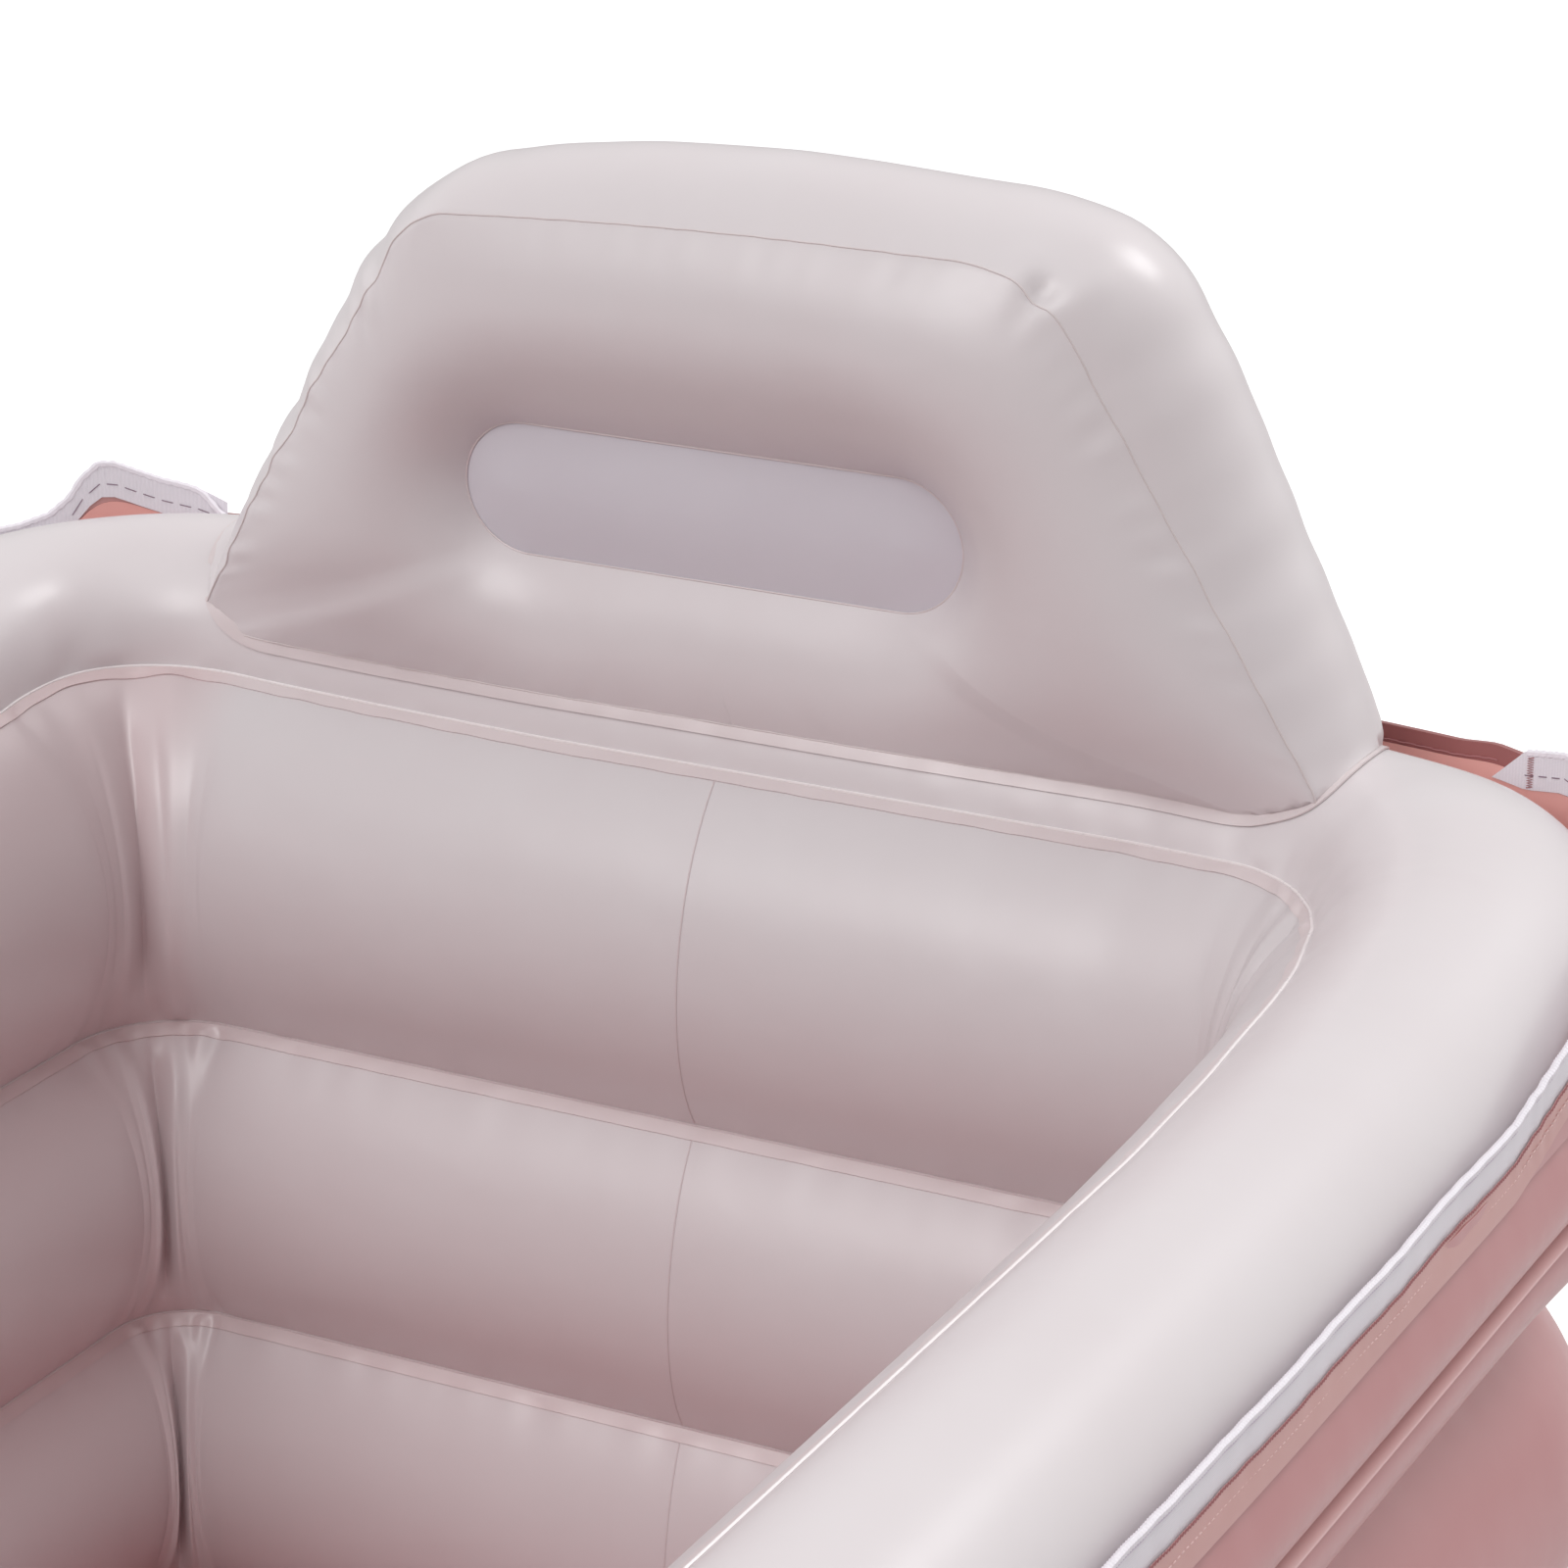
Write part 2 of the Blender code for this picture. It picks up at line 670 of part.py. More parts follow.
def build_cap(name, neck_radius, neck_height, flange_top):
    """Cap with a rim over the neck; its origin is on the hinge line, where its strap ends."""
    inner = neck_radius + CAP_CLEARANCE
    outer = inner + CAP_WALL
    reach = outer + STRAP_REACH
    axis_height = flange_top + GAP + STRAP_HALF_THICKNESS
    foot = flange_top + CAP_FOOT_GAP - axis_height
    ceiling = neck_height + CAP_CLEARANCE - axis_height
    top = ceiling + CAP_WALL
    half_width = STRAP_WIDTH / 2
    section = [(0, top), (outer, top), (outer, foot), (inner, foot), (inner, ceiling), (0, ceiling)]
    cap = turned(name, section)
    strap_end = outer - CAP_WALL / 2
    strap = block(
        name + "_strap",
        (-reach, -half_width, -STRAP_HALF_THICKNESS),
        (-strap_end, half_width, STRAP_HALF_THICKNESS),
    )
    knuckle = drum(name + "_knuckle", STRAP_HALF_THICKNESS, -half_width + GAP, half_width - GAP, SMALL_SIDES)
    for vertex in knuckle.data.vertices:
        vertex.co = (vertex.co.x - reach, -vertex.co.z, vertex.co.y)
    tab = drum(name + "_tab", half_width, top - CAP_WALL + GAP, top - GAP, ROUND_SIDES // 2)
    for vertex in tab.data.vertices:
        vertex.co.x += outer + FINGER_TAB_REACH - half_width
    tab_root = block(
        name + "_tab_root",
        (strap_end, -half_width, top - CAP_WALL + GAP),
        (outer + FINGER_TAB_REACH - half_width, half_width, top - GAP),
    )
    for other in (strap, knuckle, tab, tab_root):
        boolean(cap, other, "UNION")
    applied(cap)
    for vertex in cap.data.vertices:
        vertex.co.x += reach
    finish_object(cap, MOULDED)
    return cap, (-reach, 0, axis_height)


def valve_place(name, holder, place, turn_x):
    """Empty on a wall's face, its Z along the valve's axis."""
    spot = bpy.data.objects.new(name + "_place", None)
    spot.location = place
    spot.rotation_euler.x = turn_x
    spot.parent = holder
    TUB.objects.link(spot)
    return spot


def valve_cutter(name, spot, radius, low, high):
    """Round bar on a valve's axis."""
    bar = drum(name, radius, low, high)
    bar.parent = spot
    return bar


def build_valve(name, flange, wall, spot):
    """Moulded base through a wall, spoked seat, rubber flap and hinged cap."""
    flange.name = name + "_base"
    finish_object(flange, MOULDED)
    flange_disc = valve_cutter(name + "_disc", spot, VALVE_FLANGE_RADIUS, -OVERRUN, OVERRUN)
    neck = valve_cutter(name + "_neck", spot, VALVE_NECK_RADIUS, -VALVE_NECK_INSIDE, VALVE_NECK_HEIGHT)
    bore = valve_cutter(name + "_bore", spot, VALVE_BORE_RADIUS, -OVERRUN, OVERRUN)
    hole = valve_cutter(name + "_hole", spot, VALVE_NECK_RADIUS + GAP, -OVERRUN, OVERRUN)
    boolean(flange, flange_disc, "INTERSECT")
    boolean(flange, neck, "UNION")
    boolean(flange, bore, "DIFFERENCE")
    boolean(wall, hole, "DIFFERENCE")
    ports = [
        circle(
            (
                SEAT_PORT_CIRCLE_RADIUS * math.cos(math.tau * k / SEAT_PORT_COUNT),
                SEAT_PORT_CIRCLE_RADIUS * math.sin(math.tau * k / SEAT_PORT_COUNT),
            ),
            SEAT_PORT_RADIUS,
            SMALL_SIDES,
        )
        for k in range(SEAT_PORT_COUNT)
    ]
    seat_low = -VALVE_NECK_INSIDE
    seat_top = seat_low + SEAT_THICKNESS
    outlines = [circle((0, 0), VALVE_BORE_RADIUS - GAP), circle((0, 0), STEM_RADIUS + GAP, SMALL_SIDES)]
    seat = plate(name + "_seat", outlines + ports, seat_low, SEAT_THICKNESS, MOULDED)
    seat.parent = spot
    flap_radius = SEAT_PORT_CIRCLE_RADIUS + SEAT_PORT_RADIUS + GAP
    head_top = seat_top + GAP + FLAP_THICKNESS
    flap = turned(
        name + "_flap",
        [
            (0, head_top),
            (STEM_HEAD_RADIUS, head_top),
            (STEM_HEAD_RADIUS, seat_top + GAP),
            (STEM_RADIUS, seat_top + GAP),
            (STEM_RADIUS, seat_low - GAP),
            (flap_radius, seat_low - GAP),
            (flap_radius, seat_low - GAP - FLAP_THICKNESS),
            (0, seat_low - GAP - FLAP_THICKNESS),
        ],
        SMALL_SIDES * 2,
    )
    finish_object(flap, RUBBER)
    flap.parent = spot
    cap, place = build_cap(
        name + "_cap", VALVE_NECK_RADIUS, VALVE_NECK_HEIGHT, 2 * GAP + VALVE_FLANGE_THICKNESS
    )
    cap.parent = spot
    cap.location = place


def build_wall_valves():
    """One valve for each ring, in a column on the foot end's outer wall."""
    for level, arc in OUTER_ARCS.items():
        name = level + "_valve"
        face = arc.radius * math.cos(arc.sweep / arc.steps)
        across = arc.centre[0] + arc.out[0] * face
        height = arc.centre[1] + arc.out[1] * face
        place = (VALVE_ACROSS, CENTRE_Y - INNER_HALF_LENGTH - across, height)
        spot = valve_place(name, None, place, math.atan2(arc.out[0], arc.out[1]))
        flange = ring_panel(name, arc.sheet(GAP, GAP + VALVE_FLANGE_THICKNESS), MOULDED)
        build_valve(name, flange, bpy.data.objects["outer_wall_" + level], spot)


def build_headrest_valve(holder):
    """The headrest's own valve, on its rear panel above the recess."""
    height = (RECESS_CENTRE_HEIGHT + RECESS_HALF_HEIGHT + HEADREST_HEIGHT) / 2
    depth = HEADREST_DEPTH / 2 + PANEL_CROWN
    spot = valve_place("headrest_valve", holder, (0, depth, height), -math.pi / 2)
    rise = 2 * GAP + VALVE_FLANGE_THICKNESS
    flange = bulged_sheet("headrest_valve", 1, rise, VALVE_FLANGE_THICKNESS, MOULDED)
    flange.parent = holder
    build_valve("headrest_valve", flange, bpy.data.objects["headrest_rear"], spot)


def build_drain():
    """Drain fitting on the base sheet near the foot end, with its hinged cap."""
    spot = bpy.data.objects.new("drain_place", None)
    spot.location = (0, CENTRE_Y - INNER_HALF_LENGTH + DRAIN_FROM_FOOT_SEAM, SHEET)
    TUB.objects.link(spot)
    flange_top = GAP + VALVE_FLANGE_THICKNESS
    base = turned(
        "drain_base",
        [
            (DRAIN_BORE_RADIUS, DRAIN_NECK_HEIGHT),
            (DRAIN_NECK_RADIUS, DRAIN_NECK_HEIGHT),
            (DRAIN_NECK_RADIUS, flange_top),
            (DRAIN_FLANGE_RADIUS, flange_top),
            (DRAIN_FLANGE_RADIUS, GAP),
            (DRAIN_BORE_RADIUS, GAP),
        ],
        closed=True,
    )
    finish_object(base, MOULDED)
    base.parent = spot
    cap, place = build_cap("drain_cap", DRAIN_NECK_RADIUS, DRAIN_NECK_HEIGHT, flange_top)
    cap.parent = spot
    cap.location = place


def shade_round():
    """Smooth shading with sharp edges kept."""
    for piece in TUB.objects:
        if piece.type == "MESH":
            piece.data.shade_smooth()
            piece.data.set_sharp_from_angle(angle=math.radians(40))


build_walls()
build_skirt()
HEADREST = headrest_holder()
build_headrest(HEADREST)
build_wall_valves()
build_headrest_valve(HEADREST)
build_drain()
shade_round()
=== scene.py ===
"""Inflatable bathtub: welded air rings, an air headrest, half a zip, air valves and a drain.

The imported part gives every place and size. This script dresses it: each sheet of film gets
its puckers, folds and weld lines, the zip its coil, weave and stitches, and each material the
finish of the real one.
"""

import json
import math

import bpy
import numpy as np
from bpy.props import FloatProperty, FloatVectorProperty, PointerProperty
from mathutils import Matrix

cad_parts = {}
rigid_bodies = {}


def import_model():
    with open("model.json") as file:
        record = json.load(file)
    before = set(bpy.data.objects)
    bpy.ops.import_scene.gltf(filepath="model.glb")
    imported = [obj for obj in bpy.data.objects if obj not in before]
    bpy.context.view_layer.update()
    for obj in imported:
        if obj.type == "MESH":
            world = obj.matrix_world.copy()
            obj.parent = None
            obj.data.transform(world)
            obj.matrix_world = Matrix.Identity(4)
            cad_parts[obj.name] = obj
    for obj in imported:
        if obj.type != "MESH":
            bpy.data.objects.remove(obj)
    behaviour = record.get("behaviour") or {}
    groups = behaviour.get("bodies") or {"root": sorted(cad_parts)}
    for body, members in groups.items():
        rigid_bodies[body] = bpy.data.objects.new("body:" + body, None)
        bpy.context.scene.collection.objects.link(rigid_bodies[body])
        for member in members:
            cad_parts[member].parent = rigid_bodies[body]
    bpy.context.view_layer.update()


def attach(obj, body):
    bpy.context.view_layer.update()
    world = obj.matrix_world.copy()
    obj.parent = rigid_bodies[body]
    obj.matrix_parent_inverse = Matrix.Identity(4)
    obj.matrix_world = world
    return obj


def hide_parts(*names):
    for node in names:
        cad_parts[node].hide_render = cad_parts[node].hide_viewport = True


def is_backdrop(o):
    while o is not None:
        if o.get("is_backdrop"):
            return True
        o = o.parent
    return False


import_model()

bl_info = {
    "name": "Inflatable Bathtub",
    "version": (1, 0, 0),
    "blender": (4, 5, 0),
    "location": "View3D > Sidebar > Bathtub",
    "description": "Dresses a packed inflatable bathtub with film, welds, a zip and fittings",
    "category": "Add Mesh",
}

UP = np.array((0, 0, 1.0))

# The tub's plan and section, in metres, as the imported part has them
HALF_WIDTH = 0.297
HALF_LENGTH = 0.694
CORNER = 0.070
MID_Y = 0.00395
FLOOR_Z = 0.0005
LOWER_Z = 0.1325
UPPER_Z = 0.2645
RIM_Z = 0.4125
RIM_WIDTH = 0.100
RIM_DROP = 0.022
BASE_INSET = 0.040
LOWER_INSET = 0.035
UPPER_INSET = 0.022
OUTER_REACH = 0.063
HALF_GAP = 0.00055
SEAT = 0.0003
BASE_REACH = 0.068
BASE_SPINE = 0.42
SEAM_Y = MID_Y + HALF_LENGTH
TUB_BODY = "tub"

# How far each ring's film bulges out of the line between its welds
INNER_BULGES = (0.0225, 0.0255, 0.033)
OUTER_BULGE = 0.034
RIM_BULGE = 0.020

# The valves' column on the foot end, the drain, and the holes cut for them
VALVE_X = 0.160
VALVE_HOLE = 0.0165
DRAIN_Y = -0.54005
DRAIN_HOLE = 0.0250
HEAD_VALVE = 0.17898

# The weld fin on the upper outer wall, the groove it stands in, and the rings' weld flanges
FIN_DROP = 0.048
GROOVE_DEPTH = 0.0065
FIN_SPREAD = (-0.001, 0.0088, 0.0094, 0.0088, -0.001)
FIN_LIFT = (0.00035, 0.00035, 0, -0.00035, -0.00035)
FIN_SAG = 0.12
FLANGE_SPREAD = (-0.004, 0.0062, 0.0068, 0.0062, -0.004)
FLANGE_LIFT_SHARES = (0.5, 0.5, 0, -0.5, -0.5)

# The headrest's seams, measured above the rim seam, and its recess
HEAD_Y = SEAM_Y + 0.0475
HEAD_X = 0.0035
HEAD_LEAN = math.radians(4.0)
HEAD_HALF_DEPTH = 0.0425
HEAD_FOOT = (0.2580, 0.0205)
HEAD_LEFT_FOOT = (-0.2650, 0.0205)
HEAD_TOP = (0.1352, 0.2276)
HEAD_LEFT_TOP = (-HEAD_TOP[0], HEAD_TOP[1])
HEAD_RADII = (0.008, 0.010, 0.058, 0.027)
HEAD_SPACING = 0.0030
PANEL_CROWN = 0.0130
RECESS_PLACE = (-0.0150, 0.1030)
RECESS_HALF_LENGTH = 0.1123
RECESS_HALF_HEIGHT = 0.0283
RECESS_DEPTH = 0.016
RECESS_SIDE = 2 * (RECESS_HALF_LENGTH - RECESS_HALF_HEIGHT)
RECESS_BEND = math.pi * RECESS_HALF_HEIGHT

# The skirt and zip, whose parts are placed by their drop below the zip's top line
SKIRT_REACH = 0.1030
SKIRT_FOOT = -0.0280
SKIRT_FREE = 0.012
COIL_RADIUS = 0.0015
TAPE_TOP = 0.0012
TAPE_WIDTH = 0.0165
BAND_TOP = 0.0150
BAND_FOOT = 0.0285
CORD_DROPS = (0.0036, 0.0040, 0.0044)
TAPE_STITCH_DROP = 0.0105
BAND_STITCH_DROP = BAND_TOP + 0.0058
HEM_WIDTH = 0.0092
HEM_STITCH_DROP = 0.0060
# Where the zip and the hem start and end, past the middle of a rear corner
ZIP_START = -0.0273
ZIP_END = 0.0195
HEM_START = 0.012
HEM_END = -0.022

# Radius of the fine welded lines, the rounded weld on a ring's seam and the threads
LINE_RADIUS = 0.0004
RING_WELD_RADIUS = 0.0009
THREAD_RADIUS = 0.00028
FINE_THREAD_RADIUS = 0.00026
TAPE_THREAD_RADIUS = 0.00024

# How far the headrest's film, seams, foot line and patch stand off the deck
CUSHION_GAP = 0.0012
SEAM_GAP = 0.0014
FOOT_GAP = 0.0010
PATCH_GAP = 0.0011
PATCH_SPREAD = (-0.010, -0.002, 0.0015, 0.0045, 0.0052)

# Spacing and number of the points round the plan, which are fine near the head end
FINE_RUN = 0.40
FINE_STEP = 0.0036
COARSE_STEP = 0.012
HALF_FOOT_POINTS = (57, 19)
FOOT_CORNER_POINTS = 36
HEAD_CORNER_POINTS = 84
HEAD_POINTS = 126

# Rows of points across each sheet
INNER_ROWS = 52
OUTER_ROWS = 44
BAND_ROWS = 8
BOTTOM_ROWS = 48
FRONT_ROWS = 34
REAR_ROWS = 26
GUSSET_ROWS = 32
SKIRT_ROWS = 16

# Each table down to the hem's gives a value at a distance past the middle of a rear corner

# How far the welded inner seam strays outwards from the plain outline
STRAY_RIGHT = (
    (-1.30, 0), (-1.00, 0.0115), (-0.280, 0.0120), (-0.208, 0.0088), (-0.178, 0.0058), (-0.136, 0.0023),
    (-0.102, -0.0024), (-0.067, -0.0112), (-0.040, -0.0182), (-0.006, -0.0190), (0.027, -0.0128),
    (0.052, -0.0060), (0.100, 0),
)
STRAY_LEFT = (
    (-0.200, 0), (-0.117, 0.004), (-0.051, 0.009), (-0.037, 0.0129), (-0.025, 0.0162), (-0.015, 0.0183),
    (-0.004, 0.0198), (0.006, 0.0204), (0.019, 0.0156), (0.037, 0.0070), (0.063, 0),
)
# How far the seam rises along the right side
RISE_RIGHT = (
    (-1.30, 0), (-1.00, 0.013), (-0.208, 0.013), (-0.136, 0.0115), (-0.102, 0.010), (-0.067, 0.008),
    (-0.040, 0.006), (-0.006, 0.004), (0.027, 0.002), (0.100, 0),
)
# How far the deck bulges, and what the left corner adds
BULGE_RIGHT = (
    (-1.30, 0.0545), (-1.00, 0.0355), (-0.140, 0.0360), (-0.100, 0.0400), (-0.060, 0.0460),
    (-0.007, 0.0550), (0.007, 0.0515), (0.030, 0.0455), (0.100, 0.0480), (0.220, 0.0545),
)
BULGE_LEFT = ((-0.24, 0), (-0.06, 0.0095), (-0.02, 0.0100), (0.03, 0.0060), (0.12, 0))
# Where the upper outer seam is drawn in and up, as a share
DRAWN_SHARES = ((-1.30, 0), (-1.00, 1), (-0.12, 1), (0.0, 0))
DRAWN_IN = 0.010
DRAWN_UP = 0.012
DRAWN_BULGE = 0.003

# Height of the zip's top line, which is high round the rear corners
ZIP_RIGHT = (
    (-0.170, 0), (-0.146, 0.0038), (-0.118, 0.0094), (-0.060, 0.0225), (-0.020, 0.0340),
    (0.010, 0.0404), (0.0195, 0.0345),
)
ZIP_LEFT = (
    (-0.0273, 0.0483), (-0.0230, 0.0540), (-0.0159, 0.0586), (-0.0117, 0.0626), (-0.0074, 0.0671),
    (-0.0047, 0.0675), (-0.0016, 0.0614), (0.0008, 0.0530), (0.0045, 0.0463), (0.0099, 0.0430),
    (0.0136, 0.0424), (0.0600, 0.0260), (0.1200, 0.0095), (0.1700, 0),
)
# Height of the hem's top line, behind the headrest
HEM_RIGHT = ((0.010, 0.0300), (0.0214, 0.0300), (0.0272, 0.0305), (0.0340, 0.0281), (0.0450, 0.0275))
HEM_LEFT = ((-0.080, 0.0275), (-0.050, 0.0310), (-0.030, 0.0420), (-0.020, 0.0440))

# How far the headrest's gusset stands out of its seams: the mark each place is measured from,
# the distance past it and the height. The marks are the seam's start, corners and end.
STANDS = (
    ("start", 0, 0), ("right_foot", -0.030, 0), ("right_foot", 0.007, 0.0140), ("right_foot", 0.037, 0.0185),
    ("right_foot", 0.067, 0.0200), ("right_foot", 0.106, 0.0229), ("right_foot", 0.142, 0.0274),
    ("right_top", -0.057, 0.0300), ("right_top", -0.027, 0.0300), ("right_top", -0.012, 0.0265),
    ("right_top", 0.006, 0.0180), ("right_top", 0.022, 0.0150), ("right_top", 0.050, 0.0163),
    ("right_top", 0.090, 0.0187), ("right_top", 0.123, 0.0200), ("left_top", -0.078, 0.0192),
    ("left_top", -0.033, 0.0157), ("left_top", -0.009, 0.0118), ("left_top", 0.006, 0.0100),
    ("left_top", 0.021, 0.0140), ("left_top", 0.054, 0.0194), ("left_top", 0.087, 0.0167),
    ("left_top", 0.141, 0.0141), ("left_foot", -0.040, 0.0132), ("left_foot", -0.018, 0.0128),
    ("left_foot", 0.020, 0), ("end", 0, 0),
)


def linear(code):
    """Linear red, green and blue of an sRGB hex colour."""
    parts = [int(code[k : k + 2], 16) / 255 for k in (1, 3, 5)]
    return [p / 12.92 if p <= 0.04045 else ((p + 0.055) / 1.055) ** 2.4 for p in parts]


# Sizes and colours that a user would change


class BATHTUB_PG_film(bpy.types.PropertyGroup):
    """Film, welds and folds."""

    thickness: FloatProperty(
        name="Film thickness", description="Thickness of the PVC film", default=0.0005, unit="LENGTH"
    )
    pucker: FloatProperty(
        name="Pucker height",
        description="Height of the small gathers beside a weld",
        default=0.0005,
        unit="LENGTH",
    )
    fold: FloatProperty(
        name="Corner fold depth",
        description="Depth of the main fold in each inner corner",
        default=0.0075,
        unit="LENGTH",
    )
    weld: FloatProperty(
        name="Weld height", description="How far a weld stands out", default=0.0007, unit="LENGTH"
    )
    band: FloatProperty(
        name="Weld band width",
        description="Width of the weld band on each ring",
        default=0.0060,
        unit="LENGTH",
    )


class BATHTUB_PG_colours(bpy.types.PropertyGroup):
    """Colours of the films and fittings."""

    pearl: FloatVectorProperty(
        name="Pearl film", description="Film inside the tub", subtype="COLOR", default=linear("#e1dadc")
    )
    pink: FloatVectorProperty(
        name="Pink film", description="Film outside the tub", subtype="COLOR", default=linear("#c4898a")
    )
    # The skirt's inside is the pink film painted lighter coral, standing for light shining through it
    coral: FloatVectorProperty(
        name="Coral film", description="Inside of the skirt", subtype="COLOR", default=linear("#ecb0a8")
    )
    hem: FloatVectorProperty(
        name="Hem", description="Folded hem behind the headrest", subtype="COLOR", default=linear("#a66563")
    )
    tape: FloatVectorProperty(
        name="Zip tape", description="Woven polyester", subtype="COLOR", default=linear("#f2edf4")
    )


class BATHTUB_PG_zip(bpy.types.PropertyGroup):
    """Zip and stitching."""

    coil_pitch: FloatProperty(
        name="Coil pitch", description="Length of one turn of the coil", default=0.0016, unit="LENGTH"
    )
    stitch_length: FloatProperty(
        name="Stitch length", description="Length of one stitch", default=0.0022, unit="LENGTH"
    )
    stitch_pitch: FloatProperty(
        name="Stitch pitch", description="Length of a stitch and its gap", default=0.0032, unit="LENGTH"
    )


# Waves, tables and the plan


def eased(x):
    """Smooth step from 0 to 1."""
    x = np.clip(x, 0, 1)
    return x * x * (3 - 2 * x)


def hill(x, width):
    """Smooth hill of height 1 at 0."""
    return np.exp(-((x / width) ** 2))


def ripple(run, wavelengths, seed):
    """Uneven waves of about unit height along a run."""
    draw = np.random.default_rng(seed)
    total = np.zeros_like(run)
    for wavelength in wavelengths:
        total = total + np.sin(math.tau * run / wavelength + draw.uniform(0, math.tau))
    return total / math.sqrt(len(wavelengths))


def table(run, pairs):
    """Values that follow a table of places and heights along a run."""
    places, heights = zip(*pairs)
    return np.interp(run, places, heights)


def soften(values, run, width):
    """Values along a closed run, averaged over a width."""
    weight = np.gradient(run)
    gap = (run[:, None] - run[None, :] + run[-1] / 2) % run[-1] - run[-1] / 2
    spread = np.exp(-((gap / width) ** 2)) * weight[None, :]
    return spread @ values / spread.sum(1)


class Plan:
    """The way round the inner rim seam: inset points, outward directions and running length."""

    def __init__(self):
        across = HALF_WIDTH - CORNER
        along = HALF_LENGTH - CORNER
        inset, way = [], []

        def straight(start, end, out, count):
            for share in np.linspace(0, 1, count, endpoint=False):
                inset.append(np.add(start, np.subtract(end, start) * share))
                way.append(out)

        def corner(centre, start, count):
            for turn in np.radians(start + 90 * np.linspace(0, 1, count, endpoint=False)):
                inset.append(np.array(centre))
                way.append((math.cos(turn), math.sin(turn)))

        near = along - FINE_RUN
        fine, coarse = int(FINE_RUN / FINE_STEP), int((2 * along - FINE_RUN) / COARSE_STEP)
        straight((0, -along), (across, -along), (0, -1), HALF_FOOT_POINTS[0])
        corner((across, -along), -90, FOOT_CORNER_POINTS)
        straight((across, -along), (across, near), (1, 0), coarse)
        straight((across, near), (across, along), (1, 0), fine)
        corner((across, along), 0, HEAD_CORNER_POINTS)
        straight((across, along), (-across, along), (0, 1), HEAD_POINTS)
        corner((-across, along), 90, HEAD_CORNER_POINTS)
        straight((-across, along), (-across, near), (-1, 0), fine)
        straight((-across, near), (-across, -along), (-1, 0), coarse)
        corner((-across, -along), 180, FOOT_CORNER_POINTS)
        straight((-across, -along), (0, -along), (0, -1), HALF_FOOT_POINTS[1])
        inset.append(inset[0])
        way.append(way[0])
        self.inset = np.array(inset) + (0, MID_Y)
        self.way = np.array(way, float)
        seam = self.inset + self.way * CORNER
        steps = np.hypot(*np.diff(seam, axis=0).T)
        self.run = np.concatenate(([0], np.cumsum(steps)))
        self.length = self.run[-1]
        arc = CORNER * math.pi / 2
        self.corners = {
            "front_right": across + arc / 2,
            "rear_right": across + arc + 2 * along + arc / 2,
            "rear_left": across + 2 * arc + 2 * along + 2 * across + arc / 2,
            "front_left": 3 * across + 3 * arc + 4 * along + arc / 2,
        }
        right, left = self.past("rear_right"), self.past("rear_left")
        bulge = table(right, BULGE_RIGHT) + table(left, BULGE_LEFT)
        self.stray = soften(table(right, STRAY_RIGHT) + table(left, STRAY_LEFT), self.run, 0.010)
        self.drawn = soften(table(right, DRAWN_SHARES), self.run, 0.030)
        self.rise = soften(table(right, RISE_RIGHT), self.run, 0.014)
        self.deck_bulge = soften(bulge, self.run, 0.020)

    def past(self, name, run=None):
        """Running distance past the middle of a corner, shorter way round."""
        gap = (self.run if run is None else run) - self.corners[name]
        return (gap + self.length / 2) % self.length - self.length / 2

    def place(self, reach, height, run=None):
        """Points at a reach outside the plain outline and a height, at each column or at a run."""
        inset, way = self.inset, self.way
        if run is not None:
            run = run % self.length
            inset = np.stack([np.interp(run, self.run, inset[:, k]) for k in (0, 1)], -1)
            way = np.stack([np.interp(run, self.run, way[:, k]) for k in (0, 1)], -1)
            way /= np.hypot(way[:, 0], way[:, 1])[:, None]
        x = inset[:, 0] + way[:, 0] * (CORNER + reach)
        y = inset[:, 1] + way[:, 1] * (CORNER + reach)
        return np.stack(np.broadcast_arrays(x, y, height), -1)


PLAN = Plan()


class Section:
    """A round section between two edges, each a reach and a height, that may vary round the tub."""

    def __init__(self, start, end, bulge, limit=None):
        self.limit = limit
        x0, z0, x1, z1, bulge = [np.broadcast_to(v, PLAN.run.shape) for v in (*start, *end, bulge)]
        half = np.hypot(x1 - x0, z1 - z0) / 2
        self.along = np.stack((x1 - x0, z1 - z0)) / (2 * half)
        self.out = np.stack((-self.along[1], self.along[0]))
        self.radius = (half**2 + bulge**2) / (2 * bulge)
        self.sweep = 2 * np.arctan(bulge / half)
        self.centre = np.stack((x0 + x1, z0 + z1)) / 2 + self.out * (bulge - self.radius)
        self.length = float(np.mean(2 * self.sweep * self.radius))

    def points(self, share, relief):
        """Rows of points at shares of the section, moved out by a relief."""
        turn = self.sweep * (2 * share[:, None] - 1)
        away = np.sin(turn) * self.along[:, None] + np.cos(turn) * self.out[:, None]
        lift = relief(share[:, None] * self.length, self.length)
        reach, height = self.centre[:, None] + (self.radius + lift) * away
        if self.limit is not None:
            # A full roll that would stand out past the limit is held flat against it
            over = reach - self.limit
            reach = reach - (over + np.hypot(over, 0.0006)) / 2
        return PLAN.place(reach, height)


RIM = (PLAN.stray, RIM_Z + PLAN.rise)
SEAM_REACH = OUTER_REACH - DRAWN_IN * PLAN.drawn
SEAM_Z = UPPER_Z + DRAWN_UP * PLAN.drawn
